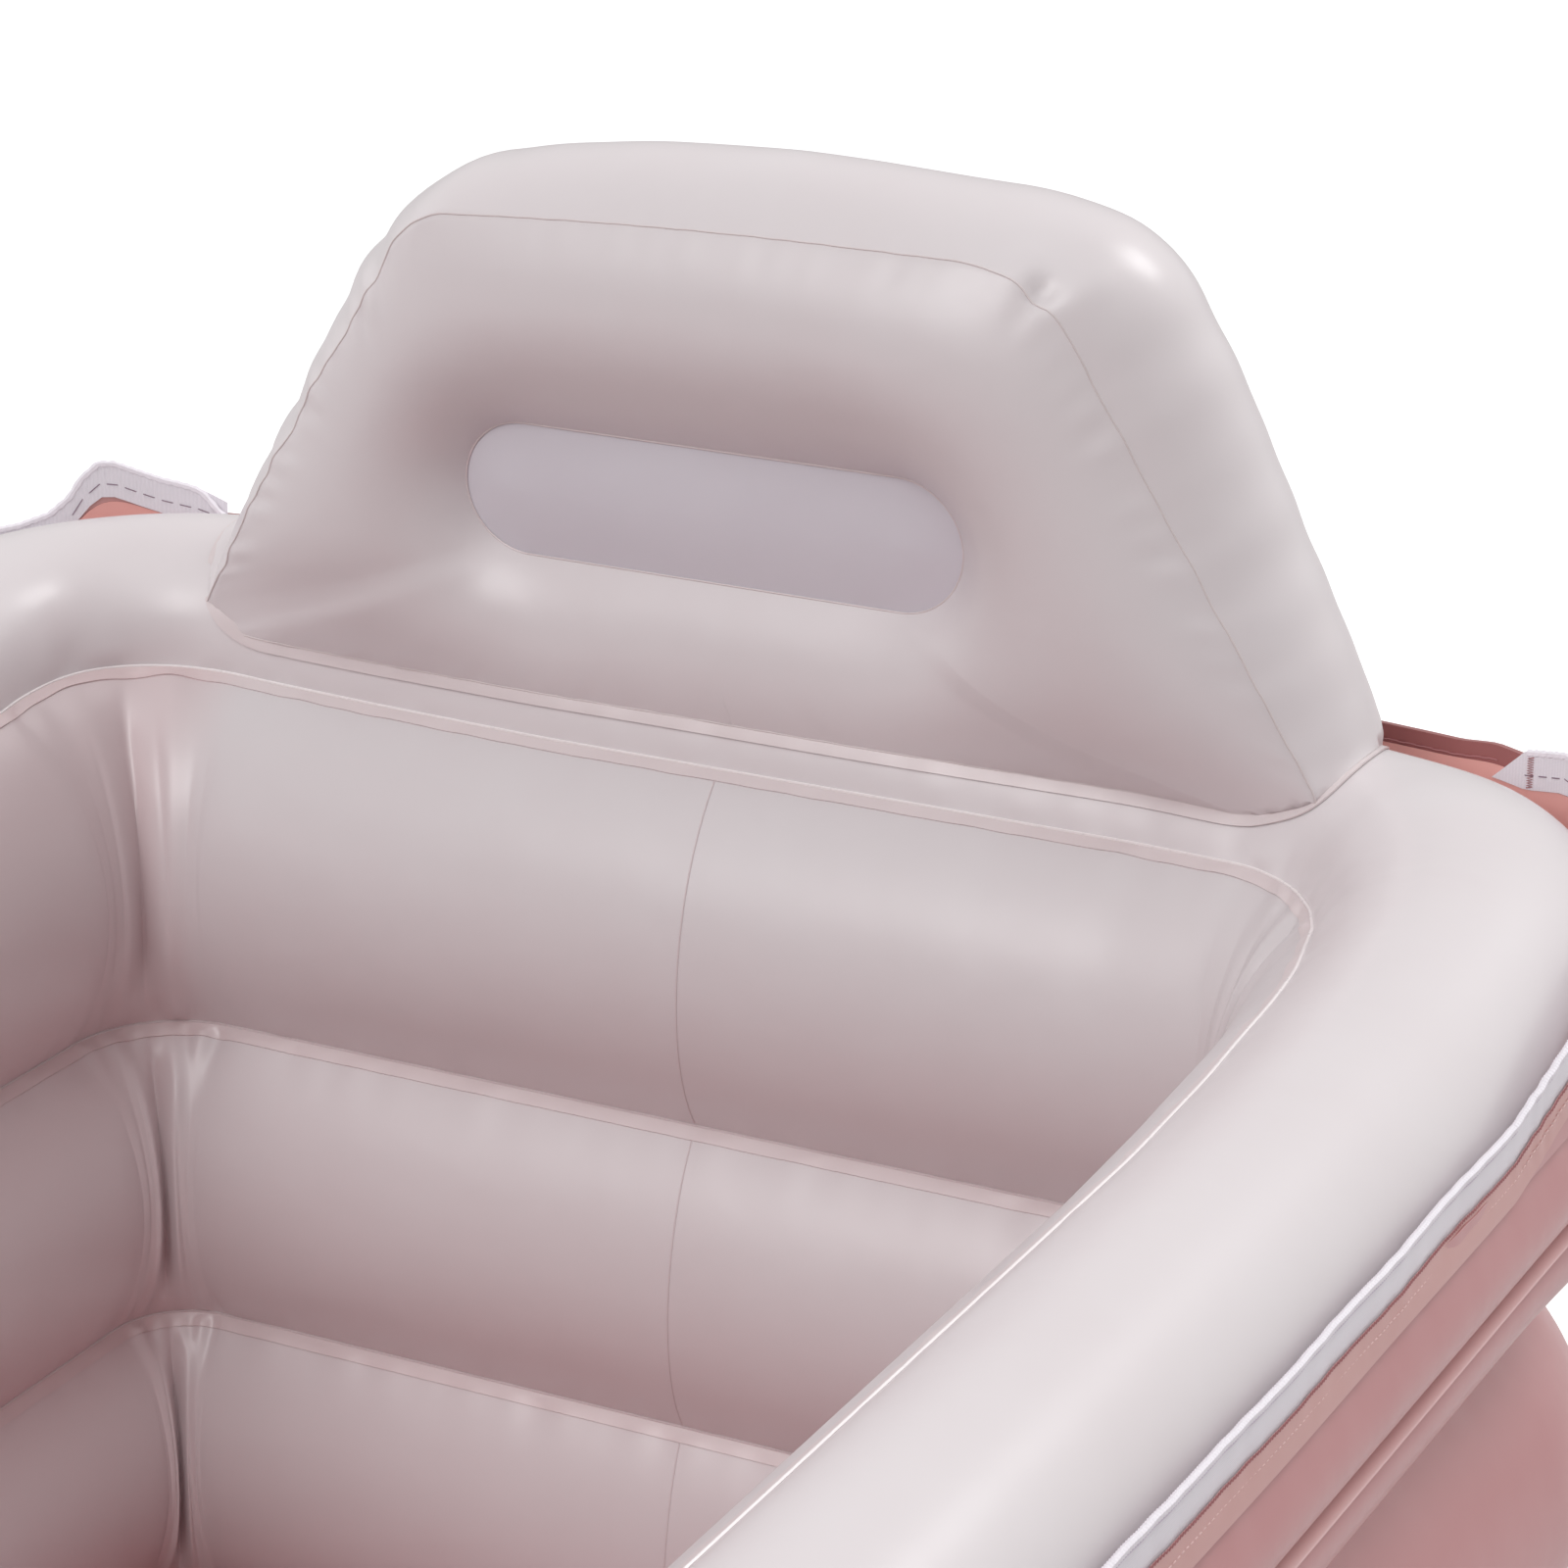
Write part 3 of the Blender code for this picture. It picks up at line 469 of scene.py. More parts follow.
# The skirt holds the deck's outer side in
DECK_LIMIT = SKIRT_REACH - 0.0018
DECK = Section((RIM[0], RIM[1] + SEAT), (RIM_WIDTH, RIM_Z - RIM_DROP), PLAN.deck_bulge, DECK_LIMIT)
INNER = {
    "bottom": Section((-BASE_INSET, FLOOR_Z + SEAT), (-LOWER_INSET, LOWER_Z - HALF_GAP), INNER_BULGES[0]),
    "middle": Section(
        (-LOWER_INSET, LOWER_Z + HALF_GAP), (-UPPER_INSET, UPPER_Z - HALF_GAP), INNER_BULGES[1]
    ),
    "top": Section((-UPPER_INSET, UPPER_Z + HALF_GAP), RIM, INNER_BULGES[2]),
}
OUTER = {
    "lower": Section((OUTER_REACH, LOWER_Z - HALF_GAP), (OUTER_REACH, FLOOR_Z + SEAT), OUTER_BULGE),
    "middle": Section((SEAM_REACH, SEAM_Z - HALF_GAP), (OUTER_REACH, LOWER_Z + HALF_GAP), OUTER_BULGE),
    "upper": Section(
        (RIM_WIDTH, RIM_Z - RIM_DROP - SEAT),
        (SEAM_REACH, SEAM_Z + HALF_GAP),
        RIM_BULGE + DRAWN_BULGE * PLAN.drawn,
    ),
}


# Meshes


def choose(objects):
    """Select just these objects, the first one active."""
    bpy.ops.object.select_all(action="DESELECT")
    for piece in objects:
        piece.select_set(True)
    bpy.context.view_layer.objects.active = objects[0]


def merge(piece, distance=0.000002):
    """Weld a piece's coincident points in edit mode."""
    choose([piece])
    bpy.ops.object.mode_set(mode="EDIT")
    bpy.ops.mesh.select_all(action="SELECT")
    bpy.ops.mesh.remove_doubles(threshold=distance)
    bpy.ops.object.mode_set(mode="OBJECT")


def cut_away(piece, spot, radius):
    """Delete the faces whose centres are within a radius of a spot."""
    choose([piece])
    bpy.ops.object.mode_set(mode="EDIT")
    bpy.ops.mesh.select_mode(type="FACE")
    bpy.ops.mesh.select_all(action="DESELECT")
    bpy.ops.object.mode_set(mode="OBJECT")
    faces = piece.data.polygons
    centres = np.empty(len(faces) * 3, np.float32)
    faces.foreach_get("center", centres)
    faces.foreach_set("select", np.linalg.norm(centres.reshape(-1, 3) - spot, axis=1) < radius)
    bpy.ops.object.mode_set(mode="EDIT")
    bpy.ops.mesh.delete(type="FACE")
    bpy.ops.mesh.select_mode(type="VERT")
    bpy.ops.object.mode_set(mode="OBJECT")


def sheet_from(name, points, lengths=None, welded=True):
    """A flat grid shaped to rows of points, with its own length and width as its UV map."""
    rows, columns = points.shape[:2]
    bpy.ops.object.select_all(action="DESELECT")
    bpy.ops.mesh.primitive_grid_add(x_subdivisions=columns - 1, y_subdivisions=rows - 1, size=1)
    piece = bpy.context.object
    piece.name = name
    piece.data.name = name
    piece.data.vertices.foreach_set("co", points.reshape(-1, 3).astype(np.float32).ravel())
    if lengths is not None:
        corners = np.empty(len(piece.data.loops), np.int32)
        piece.data.loops.foreach_get("vertex_index", corners)
        flat = lengths.reshape(-1, 2)[corners]
        piece.data.uv_layers[0].data.foreach_set("uv", flat.astype(np.float32).ravel())
    if welded:
        merge(piece)
    return piece


def tube(name, path, normal, radius, sides=6, closed=True):
    """A round tube along a path, with its radius and the direction that its section starts from."""
    along = np.gradient(path, axis=0)
    along /= np.linalg.norm(along, axis=1)[:, None]
    side = np.cross(along, normal)
    side /= np.linalg.norm(side, axis=1)[:, None]
    up = np.cross(side, along)
    radius = np.broadcast_to(radius, len(path))[:, None]
    turns = np.linspace(0, math.tau, sides + 1)
    rows = [path + radius * (math.cos(turn) * up + math.sin(turn) * side) for turn in turns]
    if not closed:
        rows = [np.concatenate((path[:1], row, path[-1:])) for row in rows]
    return sheet_from(name, np.stack(rows))


def thicken(piece, thickness, inner_material=0):
    """Give a sheet its thickness inwards and apply it."""
    choose([piece])
    wall = piece.modifiers.new("film", "SOLIDIFY")
    wall.thickness = thickness
    wall.offset = -1
    wall.material_offset = inner_material
    bpy.ops.object.modifier_apply(modifier=wall.name)


def finished(piece, material, nodes=(), angle=50):
    """Smooth a piece, give it its material and put it on its body."""
    choose([piece])
    bpy.ops.object.shade_smooth_by_angle(angle=math.radians(angle))
    if material is not None:
        piece.data.materials.clear()
        piece.data.materials.append(MATERIALS[material])
    if nodes:
        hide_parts(*nodes)
    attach(piece, TUB_BODY)
    return piece


# Materials


def add(tree, kind, inputs=None, links=None, **settings):
    """Add a node with its settings, values and links."""
    node = tree.nodes.new(kind)
    for key, value in settings.items():
        setattr(node, key, value)
    for key, value in (inputs or {}).items():
        node.inputs[key].default_value = value
    for key, source in (links or {}).items():
        tree.links.new(source, node.inputs[key])
    return node


def noise(tree, place, scale, detail, roughness=0.5):
    """A cloudy pattern."""
    inputs = {"Scale": scale, "Detail": detail, "Roughness": roughness}
    return add(tree, "ShaderNodeTexNoise", inputs, {"Vector": place}).outputs["Fac"]


def ribs(tree, place, pitch, direction):
    """Even ribs across one direction of a cloth, slightly uneven."""
    # A wave texture of scale 1 repeats every tau / 20
    inputs = {"Scale": math.tau / 20 / pitch, "Distortion": 0.4}
    links = {"Vector": place}
    return add(tree, "ShaderNodeTexWave", inputs, links, bands_direction=direction).outputs["Fac"]


def maths(tree, operation, first, second):
    """A sum, product or the like of a value with a value or a number."""
    inputs, links = ({}, {1: second}) if isinstance(second, bpy.types.NodeSocket) else ({1: second}, {})
    return add(tree, "ShaderNodeMath", inputs, {0: first, **links}, operation=operation).outputs["Value"]


def ranged(tree, value, low, high, start=0.0, end=1.0, **settings):
    """A value spread from a start and end to a low and high."""
    inputs = {"From Min": start, "From Max": end, "To Min": low, "To Max": high}
    return add(tree, "ShaderNodeMapRange", inputs, {"Value": value}, **settings).outputs["Result"]


def blend(tree, factor, second, first=None, under=None):
    """A mix of two colours by a factor, where the first may be another node's."""
    inputs, links = {"B": (*second, 1)}, {"Factor": factor}
    if under is None:
        inputs["A"] = (*first, 1)
    else:
        links["A"] = under
    return add(tree, "ShaderNodeMix", inputs, links, data_type="RGBA").outputs["Result"]


def bump(tree, height, strength, distance, under=None):
    """A relief that bends the light, over another relief or alone."""
    links = {"Height": height} if under is None else {"Height": height, "Normal": under}
    return add(tree, "ShaderNodeBump", {"Strength": strength, "Distance": distance}, links).outputs["Normal"]


def new_material(name, colour, roughness):
    """A material with a Principled shader and its plain values."""
    material = bpy.data.materials.new(name)
    material.use_nodes = True
    shader = material.node_tree.nodes["Principled BSDF"]
    shader.inputs["Base Color"].default_value = (*colour, 1)
    shader.inputs["Roughness"].default_value = roughness
    return material, material.node_tree, shader


def wired(tree, shader, values):
    """Link values to a shader's inputs."""
    for key, value in values.items():
        tree.links.new(value, shader.inputs[key])


def film(name, colour, deep, roughness, coat, waviness=1.0, behind=None):
    """Calendered soft PVC film: satin, with a pearl bloom, faint drawing marks and slow waves, and where
    given a painted pink shade.
    """
    material, tree, shader = new_material(name, colour, roughness)
    shader.inputs["Coat Weight"].default_value = coat
    shader.inputs["Coat Roughness"].default_value = 0.30
    shader.inputs["IOR"].default_value = 1.53
    place = add(tree, "ShaderNodeTexCoord").outputs["Object"]
    # Clouds of pigment, 90 mm across
    pigment_and_shade = blend(tree, noise(tree, place, 11.0, 3.0, 0.55), deep, first=colour)
    if behind:
        # Painted pink shade: the film is mixed towards pink lower down and in the left wall, standing for
        # the shade inside the tub and the light through the pink outer wall
        parts = add(tree, "ShaderNodeSeparateXYZ", None, {"Vector": place}).outputs
        low_shade = ranged(tree, parts["Z"], 0.0, 0.11, 0.42, 0.05)
        left_wall_shade = ranged(tree, parts["X"], 0.0, 0.21, -0.225, -0.265, interpolation_type="SMOOTHSTEP")
        pigment_and_shade = blend(tree, maths(tree, "ADD", low_shade, left_wall_shade), behind, under=pigment_and_shade)
    # Rolling marks, 6 mm apart, vary the satin
    marks = noise(tree, place, 160.0, 4.0, 0.6)
    satin = ranged(tree, marks, roughness - 0.05, roughness + 0.06)
    # Slow waves of the stretched film, 30 mm long and 0.2 mm high, with a fine skin
    slow = bump(tree, noise(tree, place, 26.0, 2.0, 0.4), 0.35 * waviness, 0.002)
    skin = bump(tree, marks, 0.10, 0.0002, under=slow)
    wired(tree, shader, {"Base Color": pigment_and_shade, "Roughness": satin, "Normal": skin})
    return material


def woven(name, colour):
    """Twill zip tape of polyester: ribs along its length that catch a soft sheen."""
    material, tree, shader = new_material(name, colour, 0.62)
    shader.inputs["Sheen Weight"].default_value = 0.25
    place = add(tree, "ShaderNodeTexCoord").outputs["UV"]
    # Warp ribs 0.55 mm apart across the tape, weft 0.7 mm apart along it
    weave = maths(tree, "MULTIPLY", ribs(tree, place, 0.00055, "Y"), ribs(tree, place, 0.0007, "X"))
    shade = blend(tree, weave, colour, first=[c * 0.90 for c in colour])
    wired(tree, shader, {"Base Color": shade, "Normal": bump(tree, weave, 0.5, 0.0002)})
    return material


def moulded(name, colour, roughness):
    """Injection-moulded plastic or drawn thread: even satin with a very fine grain."""
    material, tree, shader = new_material(name, colour, roughness)
    place = add(tree, "ShaderNodeTexCoord").outputs["Object"]
    grain = noise(tree, place, 1800.0, 2.0)
    satin = ranged(tree, grain, roughness - 0.06, roughness + 0.06)
    wired(tree, shader, {"Normal": bump(tree, grain, 0.15, 0.0001), "Roughness": satin})
    return material


MATERIALS = {}

# Painted pink shade on the pale inner film, standing for the shade inside the tub and the light through the
# pink outer wall
PAINTED_PINK_SHADE = "#cf8f90"

# Films: name, colour, deeper colour, roughness, coat, waviness and painted pink shade
FILMS = {
    # The pale walls inside: the deck's film painted a little darker and warmer than the deck as shade, and
    # pinker low down as painted pink shade
    "inner": ("inner_pvc_film", "#dbd5d7", "#d5ccce", 0.34, 0.35, 1.0, PAINTED_PINK_SHADE),
    # The recess floors, cooler and more matt
    "recess": ("recess_pvc_film", "#e0dde4", "#d8d3db", 0.40, 0.20, 1.0, None),
    # Pressed welds: thin edges, mostly glossier, with weaker waves
    "flange": ("pink_weld_flange", "#dcb4b2", "#d3a6a5", 0.24, 0.50, 0.3, None),
    "weld": ("welded_edge", "#dfd3d4", "#dacccd", 0.30, 0.45, 0.3, None),
    # The weld bands on the inner walls carry the same painted pink shade
    "band_weld": ("welded_band", "#dfd3d4", "#d9cacb", 0.30, 0.45, 0.3, PAINTED_PINK_SHADE),
    # The seam bead is painted near white, a painted highlight along the rim seam
    "bead": ("welded_bead", "#f6f0f0", "#efe5e6", 0.28, 0.50, 0.3, None),
    # Fine lines of the joins and the headrest's seams
    "join": ("butt_weld", "#d9cccd", "#d2c3c5", 0.36, 0.30, 0.3, None),
    "seam": ("seam_line", "#ddd2d2", "#d4c8c8", 0.36, 0.30, 0.3, None),
    # The band under the zip, duller than the pink film
    "band": ("band_pvc_film", "#d0a09c", "#c8938f", 0.40, 0.15, 1.0, None),
}

# Plain plastics and threads: name, colour and roughness
PLAIN = {
    # Bright shiny turns of the coil
    "coil": ("nylon_coil", "#efe9f0", 0.38),
    # Soft pale, red and violet stitches, and the tape's cord, its darker lilac a painted shade line of the
    # groove below the coil
    "thread": ("polyester_thread", "#e6c3c0", 0.60),
    "red_thread": ("red_polyester_thread", "#b4787a", 0.60),
    "violet_thread": ("violet_polyester_thread", "#8d7686", 0.60),
    "cord": ("tape_cord", "#cfc2d2", 0.60),
    # Satin valves and drain, with dark matt flaps
    "moulded": ("moulded_pvc", "#d9cfd0", 0.38),
    "rubber": ("flap_rubber", "#2b2a2c", 0.60),
}


class BATHTUB_OT_materials(bpy.types.Operator):
    """Make the films, the zip's textiles and the moulded plastics"""

    bl_idname = "bathtub.materials"
    bl_label = "Materials"

    def execute(self, context):
        colours = context.scene.bathtub_colours
        # Satin pearl, pink and coral films and the dull red hem, then the ribbed tape; the coral is the pink
        # film painted lighter for the light through it
        MATERIALS["pearl"] = film("pearl_pvc_film", tuple(colours.pearl), linear("#dbd1d3"), 0.34, 0.35)
        MATERIALS["pink"] = film("pink_pvc_film", tuple(colours.pink), linear("#bd7f80"), 0.32, 0.20)
        MATERIALS["coral"] = film("coral_pvc_film", tuple(colours.coral), linear("#e6a49c"), 0.45, 0.10)
        MATERIALS["hem"] = film("hem_pvc_film", tuple(colours.hem), linear("#8d4d4b"), 0.42, 0.15)
        MATERIALS["tape"] = woven("woven_polyester", tuple(colours.tape))
        for key, (name, colour, deep, roughness, coat, waviness, behind) in FILMS.items():
            # behind is the colour of a film's painted pink shade, if it has one
            behind = behind and linear(behind)
            MATERIALS[key] = film(name, linear(colour), linear(deep), roughness, coat, waviness, behind)
        for key, (name, colour, roughness) in PLAIN.items():
            MATERIALS[key] = moulded(name, linear(colour), roughness)
        return {"FINISHED"}


# Rings of film


def ring_film(name, section, rows, relief, shares=(1, 0)):
    """A film that runs right round the tub on a section, with relief along its normal."""
    share = np.linspace(*shares, rows)
    lengths = np.stack(np.broadcast_arrays(PLAN.run[None, :], share[:, None] * section.length), -1)
    return sheet_from(name, section.points(share, relief), lengths)


def seam_puckers(distance, length, height, seed):
    """Small gathers that fade away from the welds at both edges, stronger in the corners."""
    gathers = ripple(PLAN.run, (0.021, 0.029, 0.037, 0.053), seed)[None, :]
    near = sum(hill(PLAN.past(corner), 0.09) for corner in PLAN.corners)
    start = hill(distance, 0.016) * (1 - hill(distance, 0.003))
    end = hill(length - distance, 0.016) * (1 - hill(length - distance, 0.003))
    return height * (0.6 + 1.6 * near) * gathers * (start + end)


def creases(distance, length, folds):
    """Folds across the run: each is (corner, offset, width, depth, slant, start, end)."""
    share = distance / length
    total = 0
    for corner, offset, width, depth, slant, start, end in folds:
        gap = PLAN.past(corner)[None, :] - offset - slant * (share - 0.5)
        body = eased((share - start) / 0.25) * eased((end - share) / 0.25)
        valley = np.exp(-np.sqrt((gap / width) ** 2 + 0.04) + 0.2)
        ridges = hill(np.abs(gap) - 2.6 * width, 1.4 * width)
        total = total + depth * body * (0.28 * ridges - valley)
    return total


def corner_folds(depth, seed):
    """The fan of folds in each inner corner: one deep fold and small ones on both sides."""
    draw = np.random.default_rng(seed)
    folds = []
    for corner in PLAN.corners:
        slant = draw.uniform(-0.006, 0.006)
        if corner == "rear_right":
            # Here the main fold runs out of the corner along the side
            folds.append((corner, -0.0355, 0.0060, 0.8 * depth, 0.050, 0.0, 1.04))
        else:
            folds.append((corner, 0.0, 0.0070, depth, slant, 0.0, 1.0))
        for side in (-1, 1):
            for step in range(3):
                offset = side * (0.021 + 0.015 * step + draw.uniform(-0.003, 0.003))
                slant = -side * draw.uniform(0.004, 0.014)
                start, end = draw.uniform(0.0, 0.30), draw.uniform(0.75, 1.0)
                folds.append((corner, offset, 0.0050, depth * 0.20 / (1 + 0.8 * step), slant, start, end))
    return folds


class BATHTUB_OT_inner_walls(bpy.types.Operator):
    """Pale inner wall of each air ring, folded in the corners, with its weld bands and end joins"""

    bl_idname = "bathtub.inner_walls"
    bl_label = "Inner walls"

    def execute(self, context):
        sizes = context.scene.bathtub_film
        middle = (PLAN.corners["rear_right"] + PLAN.corners["rear_left"]) / 2
        across = int(np.argmin(np.abs(PLAN.run - middle)))
        slits = {"bottom": (LOWER_INSET, LOWER_Z), "middle": (UPPER_INSET, UPPER_Z)}
        for seed, (level, section) in enumerate(INNER.items()):
            folds = corner_folds(sizes.fold, 40 + seed)

            def relief(distance, length):
                puckers = seam_puckers(distance, length, sizes.pucker, 10 + seed)
                return puckers + creases(distance, length, folds)

            wall = ring_film("inner_wall_" + level + "_film", section, INNER_ROWS, relief)
            thicken(wall, sizes.thickness)
            finished(wall, "inner", ["inner_wall_" + level])

            # The weld band lies on the wall below each seam, with a step at its free edge
            def raised(distance, length):
                return relief(distance, length) + sizes.weld

            shares = (1.0, 1.0 - sizes.band / section.length)
            band = ring_film("weld_band_" + level, section, BAND_ROWS, raised, shares)
            thicken(band, sizes.weld)
            welds = [finished(band, "band_weld")]

            # A rounded weld closes the slit above the band
            if level in slits:
                inset, top = slits[level]
                bead = tube("ring_weld_" + level, PLAN.place(0.0002 - inset, top), UP, RING_WELD_RADIUS)
                welds.append(finished(bead, "join"))

            # The join at the middle of the head end is a fine raised line from seam to seam
            share = np.linspace(0.01, 0.99, 60)
            line = section.points(share, relief)[:, across]
            line = line + (0.004, 0, 0) * np.sin(math.pi * share)[:, None]
            join = tube("end_join_" + level, line, np.array((0, -1, 0.2)), LINE_RADIUS, closed=False)
            welds.append(finished(join, "join"))
        return {"FINISHED"}


class BATHTUB_OT_deck(bpy.types.Operator):
    """Round pale top of the rim and the bead of its inner seam"""

    bl_idname = "bathtub.deck"
    bl_label = "Deck"

    def execute(self, context):
        sizes = context.scene.bathtub_film

        def relief(distance, length):
            return seam_puckers(distance, length, 0.7 * sizes.pucker, 3)

        deck = ring_film("deck_film", DECK, INNER_ROWS, relief)
        thicken(deck, sizes.thickness)
        finished(deck, "pearl", ["deck_panel"])
        # The bead's near-white film is a painted highlight along the seam
        bead = tube("rim_seam_bead", PLAN.place(RIM[0] - 0.0005, RIM[1] + SEAT), UP, sizes.weld)
        finished(bead, "bead")
        return {"FINISHED"}


def groove(distance):
    """The weld round the upper outer wall: a groove between two rolls."""
    rolls = 0.0040 * hill(distance - 0.028, 0.013) + 0.0035 * hill(distance - 0.070, 0.016)
    return rolls - GROOVE_DEPTH * hill(distance - FIN_DROP, 0.006)


class BATHTUB_OT_outer_walls(bpy.types.Operator):
    """Pink outer wall of each air ring with the valve's hole, and the weld flanges and fin"""

    bl_idname = "bathtub.outer_walls"
    bl_label = "Outer walls"

    def execute(self, context):
        sizes = context.scene.bathtub_film
        for seed, (level, section) in enumerate(OUTER.items()):

            def relief(distance, length):
                shape = seam_puckers(distance, length, 0.6 * sizes.pucker, 70 + seed)
                if level == "upper":
                    shape = shape + groove(distance)
                near = PLAN.run[None, :] - VALVE_X
                return shape * (1 - np.exp(-((near / 0.04) ** 4)))

            wall = ring_film("outer_wall_" + level + "_film", section, OUTER_ROWS, relief)
            crown = section.points(np.array([0.5]), lambda distance, length: 0 * distance)[0]
            cut_away(wall, np.array((VALVE_X, crown[0, 1], crown[0, 2])), VALVE_HOLE)
            thicken(wall, sizes.thickness)
            finished(wall, "pink", ["outer_wall_" + level])
        # The fin stands out of the groove, and fades where the valve sits
        section = OUTER["upper"]
        turn = section.sweep * (2 * FIN_DROP / section.length - 1)
        away = np.sin(turn) * section.along + np.cos(turn) * section.out
        reach, height = section.centre + (section.radius - GROOVE_DEPTH) * away
        clear = 1 - np.exp(-(((PLAN.run - VALVE_X) / 0.05) ** 4))
        spread = np.array(FIN_SPREAD)[:, None] * clear
        lift = np.array(FIN_LIFT)[:, None] - FIN_SAG * spread
        fin = sheet_from("weld_fin", PLAN.place(reach + spread, height + lift), welded=False)
        merge(fin, 0.0000005)
        finished(fin, "flange")
        for level, seam, height in (("lower", OUTER_REACH, LOWER_Z), ("upper", SEAM_REACH, SEAM_Z)):
            spread = np.array(FLANGE_SPREAD)[:, None]
            reach = seam + spread + 0 * PLAN.run[None, :]
            lift = np.array(FLANGE_LIFT_SHARES)[:, None] * 2 * sizes.weld
            wave = 0.0004 * ripple(PLAN.run, (0.06, 0.09), 5)[None, :] * (spread > 0)
            flange = sheet_from("weld_flange_" + level, PLAN.place(reach, height + lift + wave))
            finished(flange, "flange", ["partition_" + level])
        return {"FINISHED"}


class BATHTUB_OT_floor(bpy.types.Operator):
    """Bottom sheet with its weld border and the drain's hole"""

    bl_idname = "bathtub.base"
    bl_label = "Bottom sheet"

    def execute(self, context):
        sizes = context.scene.bathtub_film
        share = np.linspace(1, 0, BOTTOM_ROWS)[:, None, None]
        rim = PLAN.place(BASE_REACH, FLOOR_Z)
        middle = np.clip(rim[:, 1], -BASE_SPINE, BASE_SPINE)
        spine = np.stack((0 * PLAN.run, middle, 0 * PLAN.run + FLOOR_Z), -1)
        sheet = sheet_from("bottom_film", rim[None] * share + spine[None] * (1 - share))
        cut_away(sheet, np.array((0, DRAIN_Y, FLOOR_Z)), DRAIN_HOLE)
        thicken(sheet, sizes.thickness)
        finished(sheet, "pink", ["base_sheet"])
        return {"FINISHED"}


# Headrest


def rounded_loop(corners, radii, spacing):
    """Evenly spaced points round a polygon with rounded corners, and its outward directions."""
    corners = np.array(corners, float)
    points = []
    for k, radius in enumerate(radii):
        back = corners[k - 1] - corners[k]
        ahead = corners[(k + 1) % len(corners)] - corners[k]
        back, ahead = back / np.hypot(*back), ahead / np.hypot(*ahead)
        middle = (back + ahead) / np.hypot(*(back + ahead))
        half = math.acos(float(np.clip(back @ ahead, -1, 1))) / 2
        centre = corners[k] + middle * radius / math.sin(half)
        start = corners[k] + back * radius / math.tan(half) - centre
        end = corners[k] + ahead * radius / math.tan(half) - centre
        first = math.atan2(start[1], start[0])
        turn = (math.atan2(end[1], end[0]) - first + math.pi) % math.tau - math.pi
        for share in np.linspace(0, 1, 24):
            angle = first + turn * share
            points.append(centre + radius * np.array((math.cos(angle), math.sin(angle))))
    points = np.array(points)
    lowest = np.argmin(points[:, 1] + 0.001 * np.abs(points[:, 0]))
    points = np.roll(points, -lowest, axis=0)
    start = np.array([[0, points[0, 1]]])
    if points[0, 0] < 0:
        points = np.roll(points, -1, axis=0)
    points = np.concatenate((start, points, start))
    keep = np.concatenate(([True], np.hypot(*np.diff(points, axis=0).T) > 1e-9))
    points = points[keep]
    run = np.concatenate(([0], np.cumsum(np.hypot(*np.diff(points, axis=0).T))))
    even = np.linspace(0, run[-1], int(run[-1] / spacing) + 1)
    loop = np.stack([np.interp(even, run, points[:, k]) for k in (0, 1)], -1)
    along = np.roll(loop[:-1], -1, axis=0) - np.roll(loop[:-1], 1, axis=0)
    along = np.concatenate((along, along[:1]))
    along /= np.hypot(along[:, 0], along[:, 1])[:, None]
    return loop, np.stack((along[:, 1], -along[:, 0]), -1), even


def stadium_points(share):
    """Points round the recess from its lowest middle, for shares of its length."""
    straight, bend = RECESS_SIDE, RECESS_BEND
    place = share * 2 * (straight + bend)
    side = straight / 2
    points = np.empty((len(share), 2))
    for k, s in enumerate(place):
        if s < side:
            points[k] = (s, -RECESS_HALF_HEIGHT)
        elif s < side + bend:
            turn = (s - side) / RECESS_HALF_HEIGHT - math.pi / 2
            points[k] = (side + RECESS_HALF_HEIGHT * math.cos(turn), RECESS_HALF_HEIGHT * math.sin(turn))
        elif s < side + bend + straight:
            points[k] = (side - (s - side - bend), RECESS_HALF_HEIGHT)
        elif s < side + 2 * bend + straight:
            turn = (s - side - bend - straight) / RECESS_HALF_HEIGHT + math.pi / 2
            points[k] = (-side + RECESS_HALF_HEIGHT * math.cos(turn), RECESS_HALF_HEIGHT * math.sin(turn))
        else:
            points[k] = (-side + (s - side - 2 * bend - straight), -RECESS_HALF_HEIGHT)
    return points + RECESS_PLACE


def leaned(x, depth, height):
    """Points of the headrest's own frame in the tub's frame."""
    y = HEAD_Y + depth * math.cos(HEAD_LEAN) - height * math.sin(HEAD_LEAN)
    z = RIM_Z + depth * math.sin(HEAD_LEAN) + height * math.cos(HEAD_LEAN)
    return np.stack(np.broadcast_arrays(x, y, z), -1)


def on_deck(points, deck, gap, snap=False):
    """Points moved out of the deck, and with snap back to its face where they hang in front."""
    moved = points.reshape(-1, 3).copy()
    low = np.nonzero((moved[:, 2] < RIM_Z + 0.062) & (moved[:, 1] > SEAM_Y))[0]
    for k in low:
        hit, spot, _, _ = deck.ray_cast((moved[k, 0], moved[k, 1], 1.0), (0, 0, -1))
        if hit:
            moved[k, 2] = max(moved[k, 2], spot[2] + gap)
        elif snap:
            near, spot, way, _ = deck.closest_point_on_mesh(moved[k], distance=0.012)
            if near:
                moved[k] = np.array(spot) + np.array(way) * gap
    return moved.reshape(points.shape)


